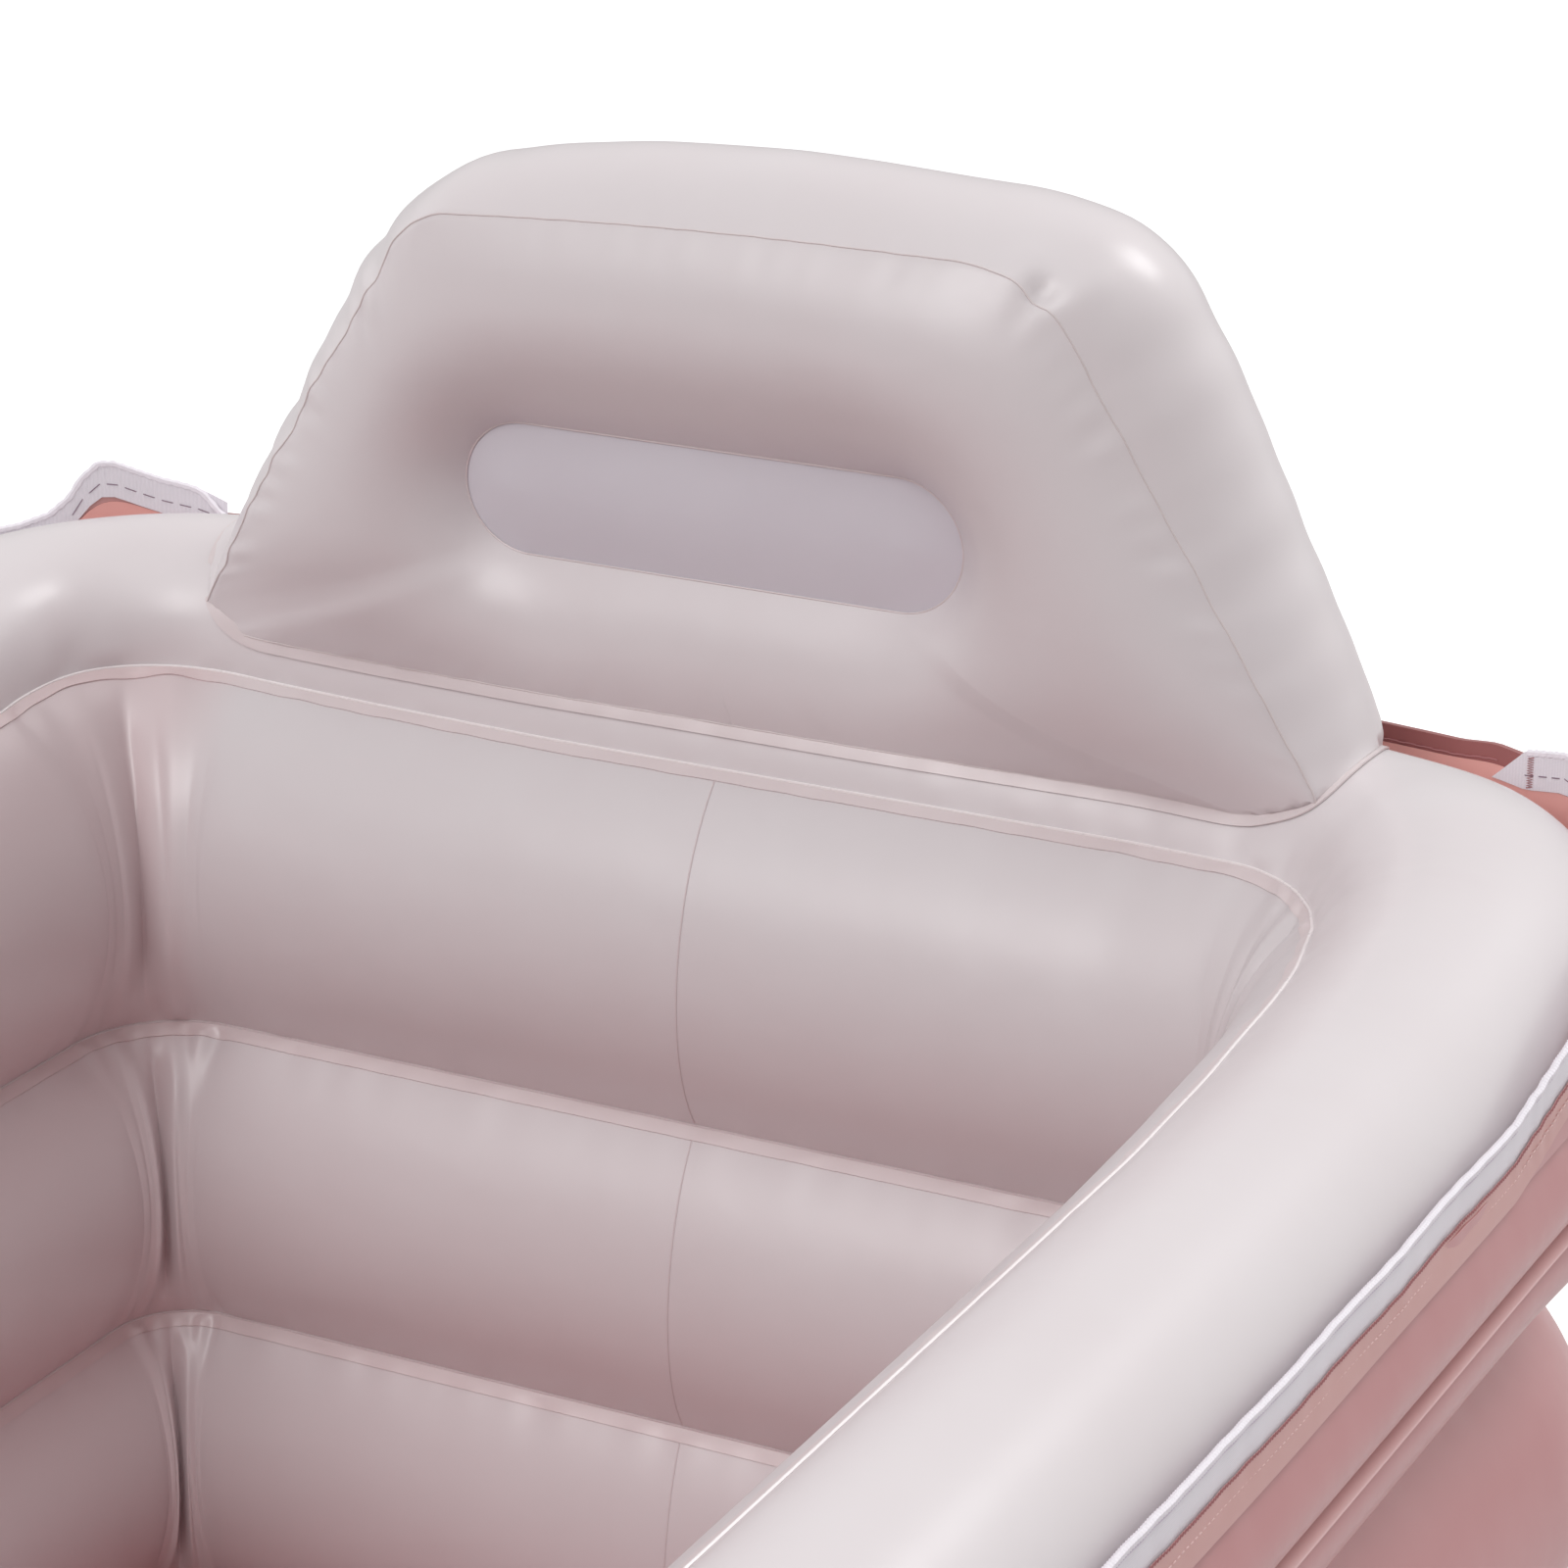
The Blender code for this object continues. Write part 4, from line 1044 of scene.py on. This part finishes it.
def inflated(flat, pressed):
    """Height of a taut film over a grid of flat points, for unit pressure and for unit pull.

    The first row is held at 0 and the last at 0 or at the pull. Both are solved as a membrane
    on the grid's own triangles, by conjugate gradients.
    """
    rows, columns = flat.shape[:2]
    columns -= 1
    number = np.arange(rows * columns).reshape(rows, columns)
    ahead = np.roll(number, -1, axis=1)
    quads = (number[:-1], ahead[:-1], ahead[1:], number[1:])
    faces = np.concatenate(
        [np.stack([quads[k].ravel() for k in three], -1) for three in ((0, 1, 2), (0, 2, 3))]
    )
    spots = flat[:, :-1].reshape(-1, 2)[faces]
    edges = np.roll(spots, -2, axis=1) - np.roll(spots, -1, axis=1)
    areas = np.abs(edges[:, 0, 0] * edges[:, 1, 1] - edges[:, 0, 1] * edges[:, 1, 0]) / 2
    stiff = np.einsum("fid,fjd->fij", edges, edges) / (4 * areas)[:, None, None]
    first, second = [faces[:, list(k)].ravel() for k in ((0, 0, 0, 1, 1, 1, 2, 2, 2), (0, 1, 2) * 3)]
    stiff = stiff.ravel()
    total = rows * columns
    free = np.ones(total)
    free[number[0]] = free[number[-1]] = 0

    def apply(values):
        return np.bincount(first, stiff * values[second], total)

    def solve(load, fixed):
        values = fixed.copy()
        left = free * (load - apply(fixed))
        way = left.copy()
        size = left @ left
        for _ in range(900):
            if size < 1e-22:
                break
            turned = free * apply(way)
            step = size / (way @ turned)
            values += step * way
            left -= step * turned
            new = left @ left
            way = left + new / size * way
            size = new
        whole = values.reshape(rows, columns)
        return np.concatenate((whole, whole[:, :1]), axis=1)

    if pressed:
        load = np.bincount(faces.ravel(), np.repeat(areas / 3, 3), total)
        return solve(load, np.zeros(total))
    held = np.zeros(total)
    held[number[-1]] = 1
    return solve(np.zeros(total), held)


class Headrest:
    """Seam outline, recess outline and the two panels and gusset between them."""

    def __init__(self, sizes):
        corners = (HEAD_LEFT_FOOT, HEAD_FOOT, HEAD_TOP, HEAD_LEFT_TOP)
        loop, out, run = rounded_loop(corners, HEAD_RADII, HEAD_SPACING)
        share = run / run[-1]
        x, height = loop[:, 0], loop[:, 1]
        # The welded seam wavers on the left side, a little on the right, and droops to the left
        left = eased((-x - 0.125) / 0.02) * eased((height - 0.03) / 0.03)
        right = eased((x - 0.125) / 0.02) * eased((height - 0.03) / 0.03)
        waver = 0.0008 * left * ripple(run, (0.029, 0.043, 0.067), 21)
        waver += 0.0003 * right * ripple(run, (0.030, 0.045), 22)
        loop = loop + out * waver[:, None]
        loop[:, 1] -= 0.0064 * ((0.05 - x) / 0.17) ** 2 * (height / HEAD_TOP[1]) ** 3 * (x < 0.05)
        self.loop, self.out, self.run, self.left, self.right = loop, out, run, left, right
        spots = (HEAD_FOOT, HEAD_TOP, HEAD_LEFT_TOP, HEAD_LEFT_FOOT)
        self.marks = [int(np.argmin(np.hypot(*(loop - spot).T))) for spot in spots]
        straight, bend = RECESS_SIDE, RECESS_BEND
        whole = 2 * (straight + bend)
        inner = [0]
        inner += [(straight / 2 + bend * turn / 180) / whole for turn in (35, 145)]
        inner += [(straight * 1.5 + bend + bend * turn / 180) / whole for turn in (35, 145)]
        inner += [1]
        outer = [0] + [share[k] for k in self.marks] + [1]
        self.recess = stadium_points(np.interp(share, outer, inner))
        # How far the gusset stands out of the seams, all the way round
        marks = dict(zip(("right_foot", "right_top", "left_top", "left_foot"), run[self.marks]))
        marks.update(start=run[0], end=run[-1])
        stands = [(marks[mark] + distance, stand) for mark, distance, stand in STANDS]
        self.stand = soften(table(run, stands), run, 0.009)
        # The rear panel is cut narrower at its right foot
        self.narrow = 0.010 * eased((x - 0.12) / 0.08) * (1 - eased(height / 0.15))
        self.puckers = ripple(run, (0.014, 0.019, 0.027), 23)
        self.sizes = sizes
        # The front's lower edge follows the deck's face, which is set back at the left corner
        deck_x = PLAN.place(0 * PLAN.run, RIM_Z)[:, 0]
        rear = (np.abs(PLAN.past("rear_right")) + np.abs(PLAN.past("rear_left"))) < 0.66
        rise = 0.018 - (DECK.centre[1] - RIM_Z)
        face = DECK.centre[0] - np.sqrt(np.maximum(DECK.radius**2 - rise**2, 0))
        order = np.argsort(deck_x[rear])
        step = np.interp(x + HEAD_X, deck_x[rear][order], face[rear][order]) - 0.0050
        self.settle = np.clip(step, 0, 0.012) * (1 - eased((height - 0.02) / 0.12))

    def panel(self, facing, rows):
        """Rows from the seam to the recess: a taut film pulled in at the recess."""
        outline = self.loop.copy()
        if facing > 0:
            outline[:, 0] -= self.narrow
        share = np.linspace(0, 1, rows)[:, None]
        spot = outline[None] + (self.recess - outline)[None] * share[..., None]
        pressed, pulled = inflated(spot, True), inflated(spot, False)
        near = np.hypot(*(spot - (0, HEAD_VALVE)).transpose(2, 0, 1))
        valve = np.unravel_index(np.argmin(near), near.shape)
        pressure = (PANEL_CROWN + RECESS_DEPTH * pulled[valve]) / pressed[valve]
        depth = pressure * pressed - RECESS_DEPTH * pulled
        distance = share * np.hypot(*(self.recess - outline).T)[None, :]
        mask = (0.25 + 0.9 * self.left + 0.4 * self.right)[None, :]
        gather = self.sizes.pucker * mask * self.puckers[None, :]
        depth = depth + gather * hill(distance - 0.006, 0.007)
        settle = self.settle[None, :] * (1 - share) if facing < 0 else 0
        return leaned(HEAD_X + spot[..., 0], facing * (HEAD_HALF_DEPTH + depth) + settle, spot[..., 1])

    def gusset(self, rows):
        """Rows from the rear seam to the front seam, bulged outwards except under the foot."""
        share = np.linspace(0, 1, rows)[:, None]
        stand = np.maximum(self.stand, 0.0004)[None, :]
        half_turn = 2 * np.arctan(stand / HEAD_HALF_DEPTH)
        radius = HEAD_HALF_DEPTH / np.sin(half_turn)
        turn = half_turn * (1 - 2 * share)
        depth = radius * np.sin(turn)
        lift = radius * np.cos(turn) - radius * np.cos(half_turn)
        near = hill(depth + HEAD_HALF_DEPTH - 0.005, 0.008)
        lift = lift + self.sizes.pucker * (0.25 + 0.8 * self.left)[None, :] * self.puckers[None, :] * near
        # The pinch at the top corner on the right: a dent beside a small ridge
        place = self.run[None, :] - self.run[self.marks[1]]
        away = depth + HEAD_HALF_DEPTH
        lift = lift - 0.0048 * hill(place + 0.0060, 0.0045) * hill(away - 0.0030, 0.0032)
        lift = lift + 0.0020 * hill(place + 0.0160, 0.0070) * hill(away - 0.0080, 0.0090)
        lift = lift + 0.0012 * hill(place - 0.0060, 0.0060) * hill(away - 0.0050, 0.0070)
        x = self.loop[None, :, 0] + self.out[None, :, 0] * lift - self.narrow[None, :] * (1 - share)
        height = self.loop[None, :, 1] + self.out[None, :, 1] * lift
        return leaned(HEAD_X + x, depth + self.settle[None, :] * eased(share), height)


class BATHTUB_OT_headrest(bpy.types.Operator):
    """Air-filled headrest with its recesses, seams and the patch that welds it to the deck"""

    bl_idname = "bathtub.headrest"
    bl_label = "Headrest"

    def execute(self, context):
        sizes = context.scene.bathtub_film
        deck = bpy.data.objects["deck_film"]
        form = Headrest(sizes)
        front = form.panel(-1, FRONT_ROWS)
        rear = form.panel(1, REAR_ROWS)[::-1]
        side = form.gusset(GUSSET_ROWS)
        body = np.concatenate((rear[:-1], side, front[1:]))
        body = on_deck(body, deck, CUSHION_GAP)
        cushion = sheet_from("headrest_cushion", body)
        valve = leaned(0.0, HEAD_HALF_DEPTH + PANEL_CROWN, HEAD_VALVE)
        cut_away(cushion, valve, VALVE_HOLE)
        thicken(cushion, sizes.thickness)
        nodes = ["headrest_front", "headrest_rear", "headrest_gusset", "headrest_tie"]
        finished(cushion, "pearl", nodes, angle=80)

        for name, facing, node in (("front", -1, "recess_front"), ("rear", 1, "recess_rear")):
            share = np.linspace(0, 1, 200)
            edge = stadium_points(share) - RECESS_PLACE
            edge *= 1 + 0.0004 / np.maximum(np.hypot(edge[:, 0], edge[:, 1]), 0.02)[:, None]
            spine = edge * (0.75, 0)
            ring = np.linspace(0, 1, 12)[:, None, None]
            if facing > 0:
                ring = ring[::-1]
            spot = edge[None] * (1 - ring) + spine[None] * ring + RECESS_PLACE
            dome = 0.0030 * np.sin(ring[..., 0] * math.pi / 2)
            depth = facing * (HEAD_HALF_DEPTH - RECESS_DEPTH - 0.0003 + dome)
            points = leaned(HEAD_X + spot[..., 0], depth, spot[..., 1])
            floor = sheet_from("recess_floor_" + name, points)
            thicken(floor, sizes.thickness)
            finished(floor, "recess", [node])
            lip = stadium_points(share)
            depth = facing * (HEAD_HALF_DEPTH - RECESS_DEPTH + 0.0002) + 0 * share
            path = leaned(HEAD_X + lip[:, 0], depth, lip[:, 1])
            weld = tube("recess_weld_" + name, path, np.array((0, -1.0, 0)), LINE_RADIUS)
            finished(weld, "weld")

        for name, row in (("front", side[-1]), ("rear", side[0])):
            line = on_deck(row, deck, SEAM_GAP)
            bead = tube("headrest_seam_" + name, line, np.array((0.01, -1.0, 0.3)), LINE_RADIUS)
            finished(bead, "seam")

        # The patch shows as a flange on the deck round the headrest's foot
        right, left = form.marks[0], form.marks[3]
        low = np.concatenate((np.arange(left, len(form.loop) - 1), np.arange(0, right + 1)))
        foot = [side[-1, low], side[::-1, right], side[0, low[::-1]], side[:, left]]
        foot = on_deck(np.concatenate([part[:-1] for part in foot]), deck, FOOT_GAP, snap=True)
        for _ in range(12):
            foot = (np.roll(foot, 1, axis=0) + foot + np.roll(foot, -1, axis=0)) / 3
        along = np.roll(foot, -1, axis=0) - np.roll(foot, 1, axis=0)
        rows = []
        for spread in PATCH_SPREAD:
            row = []
            for spot, step in zip(foot, along):
                _, _, way, _ = deck.closest_point_on_mesh(spot)
                across = np.cross(step, way)
                across /= np.linalg.norm(across)
                _, face, way, _ = deck.closest_point_on_mesh(spot + across * spread)
                row.append(np.array(face) + np.array(way) * PATCH_GAP)
            rows.append(row + row[:1])
        patch = sheet_from("headrest_patch", np.array(rows)[::-1])
        thicken(patch, 1.6 * sizes.thickness)
        finished(patch, "weld", ["headrest_base"])
        return {"FINISHED"}


# Skirt and zip


def zip_top(run):
    """Height of the zip's top line above the rim seam: level, but high round the rear corners."""
    right, left = PLAN.past("rear_right", run), PLAN.past("rear_left", run)
    line = 0.0005 * ripple(run, (0.19, 0.31), 31)
    line += (right < 0.06) * table(right, ZIP_RIGHT) * (right > -0.31)
    line += (left > -0.06) * table(left, ZIP_LEFT) * (left < 0.31)
    return line


def hem_top(run):
    """Height of the hem's top line above the rim seam, behind the headrest."""
    right, left = PLAN.past("rear_right", run), PLAN.past("rear_left", run)
    near, far = table(right, HEM_RIGHT), table(left, HEM_LEFT)
    return np.where(np.abs(right) < np.abs(left), near, far) + 0.0005 * ripple(run, (0.05, 0.08), 32)


def skirt_wave(run):
    """How far the skirt's free top stands out, with short pleats where the zip starts to rise."""
    right = PLAN.past("rear_right", run)
    wave = 0.0005 * ripple(run, (0.09, 0.15, 0.23), 33) + 0.0001 * ripple(run, (0.017, 0.023), 34)
    return wave + 0.0003 * hill(right + 0.150, 0.022) * ripple(run, (0.012, 0.017), 35)


def strip(name, run, drops, top, lift, thickness=0, ends=None):
    """A strip of the skirt between drops below a top line, outwards facing, lifted off the skirt."""
    rows, lengths = [], []
    for drop in drops[::-1]:
        at = run if ends is None else run[0] + (run - run[0]) * (1 + ends * drop / (run[-1] - run[0]))
        free = eased((top(at) - drop - SKIRT_FOOT) / SKIRT_FREE)
        reach = SKIRT_REACH + 0.0012 * (1 - free) + free * skirt_wave(at) + lift
        rows.append(PLAN.place(reach, RIM_Z + top(at) - drop, at))
        lengths.append(np.stack((at, 0 * at + drop), -1))
    piece = sheet_from(name, np.array(rows), np.array(lengths))
    if thickness:
        thicken(piece, thickness)
    return piece


def stitches(name, run, drop, top, lift, sizes, radius=THREAD_RADIUS):
    """A running stitch: the thread lies on the film for a stitch and dips into it between."""
    at = np.repeat(np.arange(run[0], run[-1], sizes.stitch_pitch), 4)
    at = at + np.tile((0, 0.12, 0.88, 1), len(at) // 4) * sizes.stitch_length
    sunk = np.tile((1, 0, 0, 1), len(at) // 4) * 0.0005 * np.sign(lift)
    path = PLAN.place(SKIRT_REACH + skirt_wave(at) + lift - sunk, RIM_Z + top(at) - drop, at)
    return tube(name, path, UP, radius, sides=4, closed=False)


def zigzag(name, run, drop, top, lift, pitch, swing, radius):
    """A zigzag thread along the skirt."""
    at = np.arange(run[0], run[-1], pitch / 2)
    side = swing * np.where(np.arange(len(at)) % 2, 1, -1)
    path = PLAN.place(SKIRT_REACH + skirt_wave(at) + lift, RIM_Z + top(at) - drop + side, at)
    return tube(name, path, UP, radius, sides=4, closed=False)


class BATHTUB_OT_zip(bpy.types.Operator):
    """Skirt round the rim with its stitched band and rear hem, and the half zip sewn to it"""

    bl_idname = "bathtub.zip"
    bl_label = "Skirt and zip"

    def execute(self, context):
        sizes = context.scene.bathtub_zip
        corners = PLAN.corners
        start = corners["rear_left"] + ZIP_START
        end = PLAN.length + corners["rear_right"] + ZIP_END
        run = np.linspace(start, end, 1500)
        rear = np.linspace(corners["rear_right"] + HEM_START, corners["rear_left"] + HEM_END, 300)

        coil_run = np.linspace(start, end, int((end - start) / sizes.coil_pitch * 4))
        beat = np.tile((0.86, 1.0, 1.12, 1.0), len(coil_run) // 4 + 1)[: len(coil_run)]
        curl = hill(coil_run - start, 0.0035)
        centre = PLAN.place(
            SKIRT_REACH + skirt_wave(coil_run) + 0.0002 - 0.0030 * curl,
            RIM_Z + zip_top(coil_run) - COIL_RADIUS - 0.0060 * curl,
            coil_run,
        )
        coil = tube("coil", centre, UP, COIL_RADIUS * beat, closed=False)
        finished(coil, "coil", ["zip_coil"])

        tape = strip("tape", run, np.linspace(TAPE_TOP, TAPE_WIDTH, 9), zip_top, 0, ends=0.45)
        thicken(tape, 0.0006)
        finished(tape, "tape", ["zip_tape"])
        # The cord's darker lilac is a painted shade line of the groove below the coil
        cord = strip("tape_cord", run, np.array(CORD_DROPS), zip_top, 0.0003, 0.0004)
        finished(cord, "cord")

        band = strip("band", run, np.linspace(BAND_TOP, BAND_FOOT, 8), zip_top, 0.0010, 0.0005)
        finished(band, "band")

        def film_top(at):
            in_zip = (PLAN.past("rear_left", at) > ZIP_START) | (PLAN.past("rear_right", at) < ZIP_END)
            in_zip &= ~((PLAN.past("rear_left", at) < ZIP_START) & (PLAN.past("rear_right", at) > ZIP_END))
            return np.where(in_zip, zip_top(at) - BAND_TOP - 0.002, hem_top(at) - 0.0074)

        heights = soften(film_top(PLAN.run), PLAN.run, 0.004)
        share = np.linspace(0, 1, SKIRT_ROWS)[:, None]
        z = SKIRT_FOOT + 0.001 + (heights - SKIRT_FOOT - 0.001)[None, :] * share
        free = eased((z - SKIRT_FOOT) / SKIRT_FREE)
        sway = 0.0010 * ripple(PLAN.run, (0.034, 0.047, 0.071), 36)[None, :]
        sway = sway * np.sin(math.pi * share) * eased(heights / 0.02)[None, :]
        reach = SKIRT_REACH + 0.0004 + 0.0010 * (1 - free) + free * skirt_wave(PLAN.run)[None, :] + sway
        lengths = np.stack(np.broadcast_arrays(PLAN.run[None, :], z), -1)
        film_sheet = sheet_from("skirt_film", PLAN.place(reach, RIM_Z + z), lengths)
        film_sheet.data.materials.append(MATERIALS["pink"])
        # Its inside gets the coral film: the pink film painted lighter for light through it
        film_sheet.data.materials.append(MATERIALS["coral"])
        thicken(film_sheet, 0.0004, inner_material=1)
        finished(film_sheet, None, ["skirt_band"])

        hem = strip("hem", rear, np.linspace(0, HEM_WIDTH, 6), hem_top, 0.0029, 0.0024)
        finished(hem, "hem", ["rear_hem"])
        hem_row = stitches("hem_stitches", rear[8:-8], HEM_STITCH_DROP, hem_top, 0.0003, sizes)
        finished(hem_row, "red_thread")

        edge = zigzag("band_zigzag", run, BAND_TOP, zip_top, 0.0012, 0.0019, 0.0005, FINE_THREAD_RADIUS)
        finished(edge, "red_thread")
        row = stitches("band_stitches", run, BAND_STITCH_DROP, zip_top, 0.0013, sizes)
        finished(row, "thread")
        row = stitches("tape_stitches", run, TAPE_STITCH_DROP, zip_top, -0.0008, sizes, TAPE_THREAD_RADIUS)
        finished(row, "violet_thread")
        drop = np.linspace(0.0030, TAPE_WIDTH - 0.001, 26)
        place = end - 0.0010 + 0.0007 * np.where(np.arange(26) % 2, 1, -1)
        path = PLAN.place(SKIRT_REACH + skirt_wave(place) - 0.0008, RIM_Z + zip_top(place) - drop, place)
        tack = tube("bar_tack", path, np.array((1.0, 0.3, 0.2)), FINE_THREAD_RADIUS, sides=4, closed=False)
        finished(tack, "red_thread")
        return {"FINISHED"}


# Valves and drain


class BATHTUB_OT_fittings(bpy.types.Operator):
    """Moulded valves, caps and drain: their own solids, with their plastics"""

    bl_idname = "bathtub.fittings"
    bl_label = "Valves and drain"

    def execute(self, context):
        for node in bpy.data.objects:
            if node.type != "MESH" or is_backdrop(node):
                continue
            kind = node.name.rsplit("_", 1)[-1]
            place = node.name.split("_")[-2] if "_" in node.name else ""
            if place in ("valve", "drain") and kind in ("base", "seat", "cap", "flap"):
                node.data.materials.clear()
                node.data.materials.append(MATERIALS["rubber" if kind == "flap" else "moulded"])
        return {"FINISHED"}


# Stage and camera

# Azimuth and elevation in degrees and strength of each soft box round the tub
SOFT_BOXES = (
    (60, 12, 1.09),
    (120, 12, 0.36),
    (180, 12, 1.14),
    (30, 35, 0.68),
    (150, 30, 0.24),
    (90, 50, 0.61),
    (270, 50, 1.78),
    (60, 60, 0.12),
    (0, 90, 0.08),
)


# How sharply each soft box falls off
LOBE = 6.0

# Name, place, aim, size and power of each lamp
LAMPS = (
    ("key", (1.3, 2.0, 2.6), (0.15, 0.7, 0.5), 0.9, 15.6),
    ("fill", (-0.5, -1.9, 2.2), (0.0, 0.5, 0.2), 1.6, 22.1),
)

# The photograph's camera: lens and sensor in mm, place, tilt below level and turn
LENS = 110.08
SENSOR = 36
CAMERA_PLACE = (0.8581, -0.9002, 1.0688)
CAMERA_TILT = 0.3502
CAMERA_TURN = 0.4784
PALE_FLOOR = "#e6e4e4"


class BATHTUB_OT_stage(bpy.types.Operator):
    """Pale floor, soft lamps, white surroundings and the photograph's camera"""

    bl_idname = "bathtub.stage"
    bl_label = "Stage"

    def execute(self, context):
        scene = context.scene
        scene.view_settings.view_transform = "Standard"
        bpy.ops.object.select_all(action="DESELECT")
        bpy.ops.mesh.primitive_plane_add(size=14, location=(0, 0, -0.0002))
        floor = context.object
        floor.name = "floor"
        material, tree, shader = new_material("pale_floor", linear(PALE_FLOOR), 0.85)
        path = add(tree, "ShaderNodeLightPath")
        # White to the camera, paler to the object, and the shadow stays
        seen = path.outputs["Is Camera Ray"]
        tone = blend(tree, seen, (1, 1, 1), first=linear(PALE_FLOOR))
        glow = maths(tree, "MULTIPLY", seen, 0.30)
        shader.inputs["Emission Color"].default_value = (1, 1, 1, 1)
        wired(tree, shader, {"Base Color": tone, "Emission Strength": glow})
        floor.data.materials.append(material)
        floor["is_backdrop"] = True

        # Soft studio: wide soft boxes all round, which blend into each other
        world = bpy.data.worlds.new("studio")
        world.use_nodes = True
        scene.world = world
        tree = world.node_tree
        tree.nodes.clear()
        path = add(tree, "ShaderNodeLightPath")
        way = add(tree, "ShaderNodeTexCoord").outputs["Generated"]
        total = None
        for azimuth, elevation, strength in SOFT_BOXES:
            turn, lift = math.radians(azimuth), math.radians(elevation)
            aim = (math.cos(lift) * math.cos(turn), math.cos(lift) * math.sin(turn), math.sin(lift))
            near = add(tree, "ShaderNodeVectorMath", {1: aim}, {0: way}, operation="DOT_PRODUCT")
            inside = maths(tree, "MAXIMUM", near.outputs["Value"], 0.0)
            lit = maths(tree, "MULTIPLY", maths(tree, "POWER", inside, LOBE), strength)
            total = lit if total is None else maths(tree, "ADD", total, lit)
        light = add(tree, "ShaderNodeBackground", {"Color": (1, 1, 1, 1)}, {"Strength": total})
        white = add(tree, "ShaderNodeBackground", {"Color": (1, 1, 1, 1), "Strength": 1.0})
        sides = {0: path.outputs["Is Camera Ray"], 1: light.outputs[0], 2: white.outputs[0]}
        mixed = add(tree, "ShaderNodeMixShader", None, sides)
        add(tree, "ShaderNodeOutputWorld", None, {"Surface": mixed.outputs[0]})

        for name, place, aim, size, power in LAMPS:
            lamp = bpy.data.lights.new(name, "AREA")
            lamp.shape = "DISK"
            lamp.size = size
            lamp.energy = power
            holder = bpy.data.objects.new(name, lamp)
            scene.collection.objects.link(holder)
            holder.location = place
            way = np.subtract(aim, place)
            tilt = math.atan2(np.hypot(way[0], way[1]), -way[2])
            holder.rotation_euler = (tilt, 0, math.atan2(-way[0], way[1]))

        camera = bpy.data.cameras.new("camera")
        camera.lens = LENS
        camera.sensor_width = SENSOR
        camera.clip_start = 0.05
        view = bpy.data.objects.new("camera", camera)
        scene.collection.objects.link(view)
        view.location = CAMERA_PLACE
        view.rotation_euler = (math.pi / 2 - CAMERA_TILT, 0, CAMERA_TURN)
        scene.camera = view
        return {"FINISHED"}


class BATHTUB_PT_panel(bpy.types.Panel):
    """Lists the pieces in the order they are made"""

    bl_idname = "BATHTUB_PT_panel"
    bl_label = "Inflatable bathtub"
    bl_space_type = "VIEW_3D"
    bl_region_type = "UI"
    bl_category = "Bathtub"

    def draw(self, context):
        for name in ("bathtub_film", "bathtub_zip", "bathtub_colours"):
            group = getattr(context.scene, name)
            box = self.layout.box()
            for key in group.__annotations__:
                box.prop(group, key)
        for operator in PIECES:
            self.layout.operator(operator.bl_idname)


PIECES = (
    BATHTUB_OT_stage,
    BATHTUB_OT_materials,
    BATHTUB_OT_deck,
    BATHTUB_OT_inner_walls,
    BATHTUB_OT_outer_walls,
    BATHTUB_OT_floor,
    BATHTUB_OT_headrest,
    BATHTUB_OT_zip,
    BATHTUB_OT_fittings,
)
GROUPS = {
    "bathtub_film": BATHTUB_PG_film,
    "bathtub_zip": BATHTUB_PG_zip,
    "bathtub_colours": BATHTUB_PG_colours,
}


def register():
    for kind in (*GROUPS.values(), *PIECES, BATHTUB_PT_panel):
        bpy.utils.register_class(kind)
    for name, kind in GROUPS.items():
        setattr(bpy.types.Scene, name, PointerProperty(type=kind))


def unregister():
    for name in GROUPS:
        delattr(bpy.types.Scene, name)
    for kind in (*GROUPS.values(), *PIECES, BATHTUB_PT_panel):
        bpy.utils.unregister_class(kind)


def main():
    """Make every piece in order."""
    register()
    for operator in PIECES:
        group, name = operator.bl_idname.split(".")
        getattr(getattr(bpy.ops, group), name)()


if __name__ == "__main__":
    main()
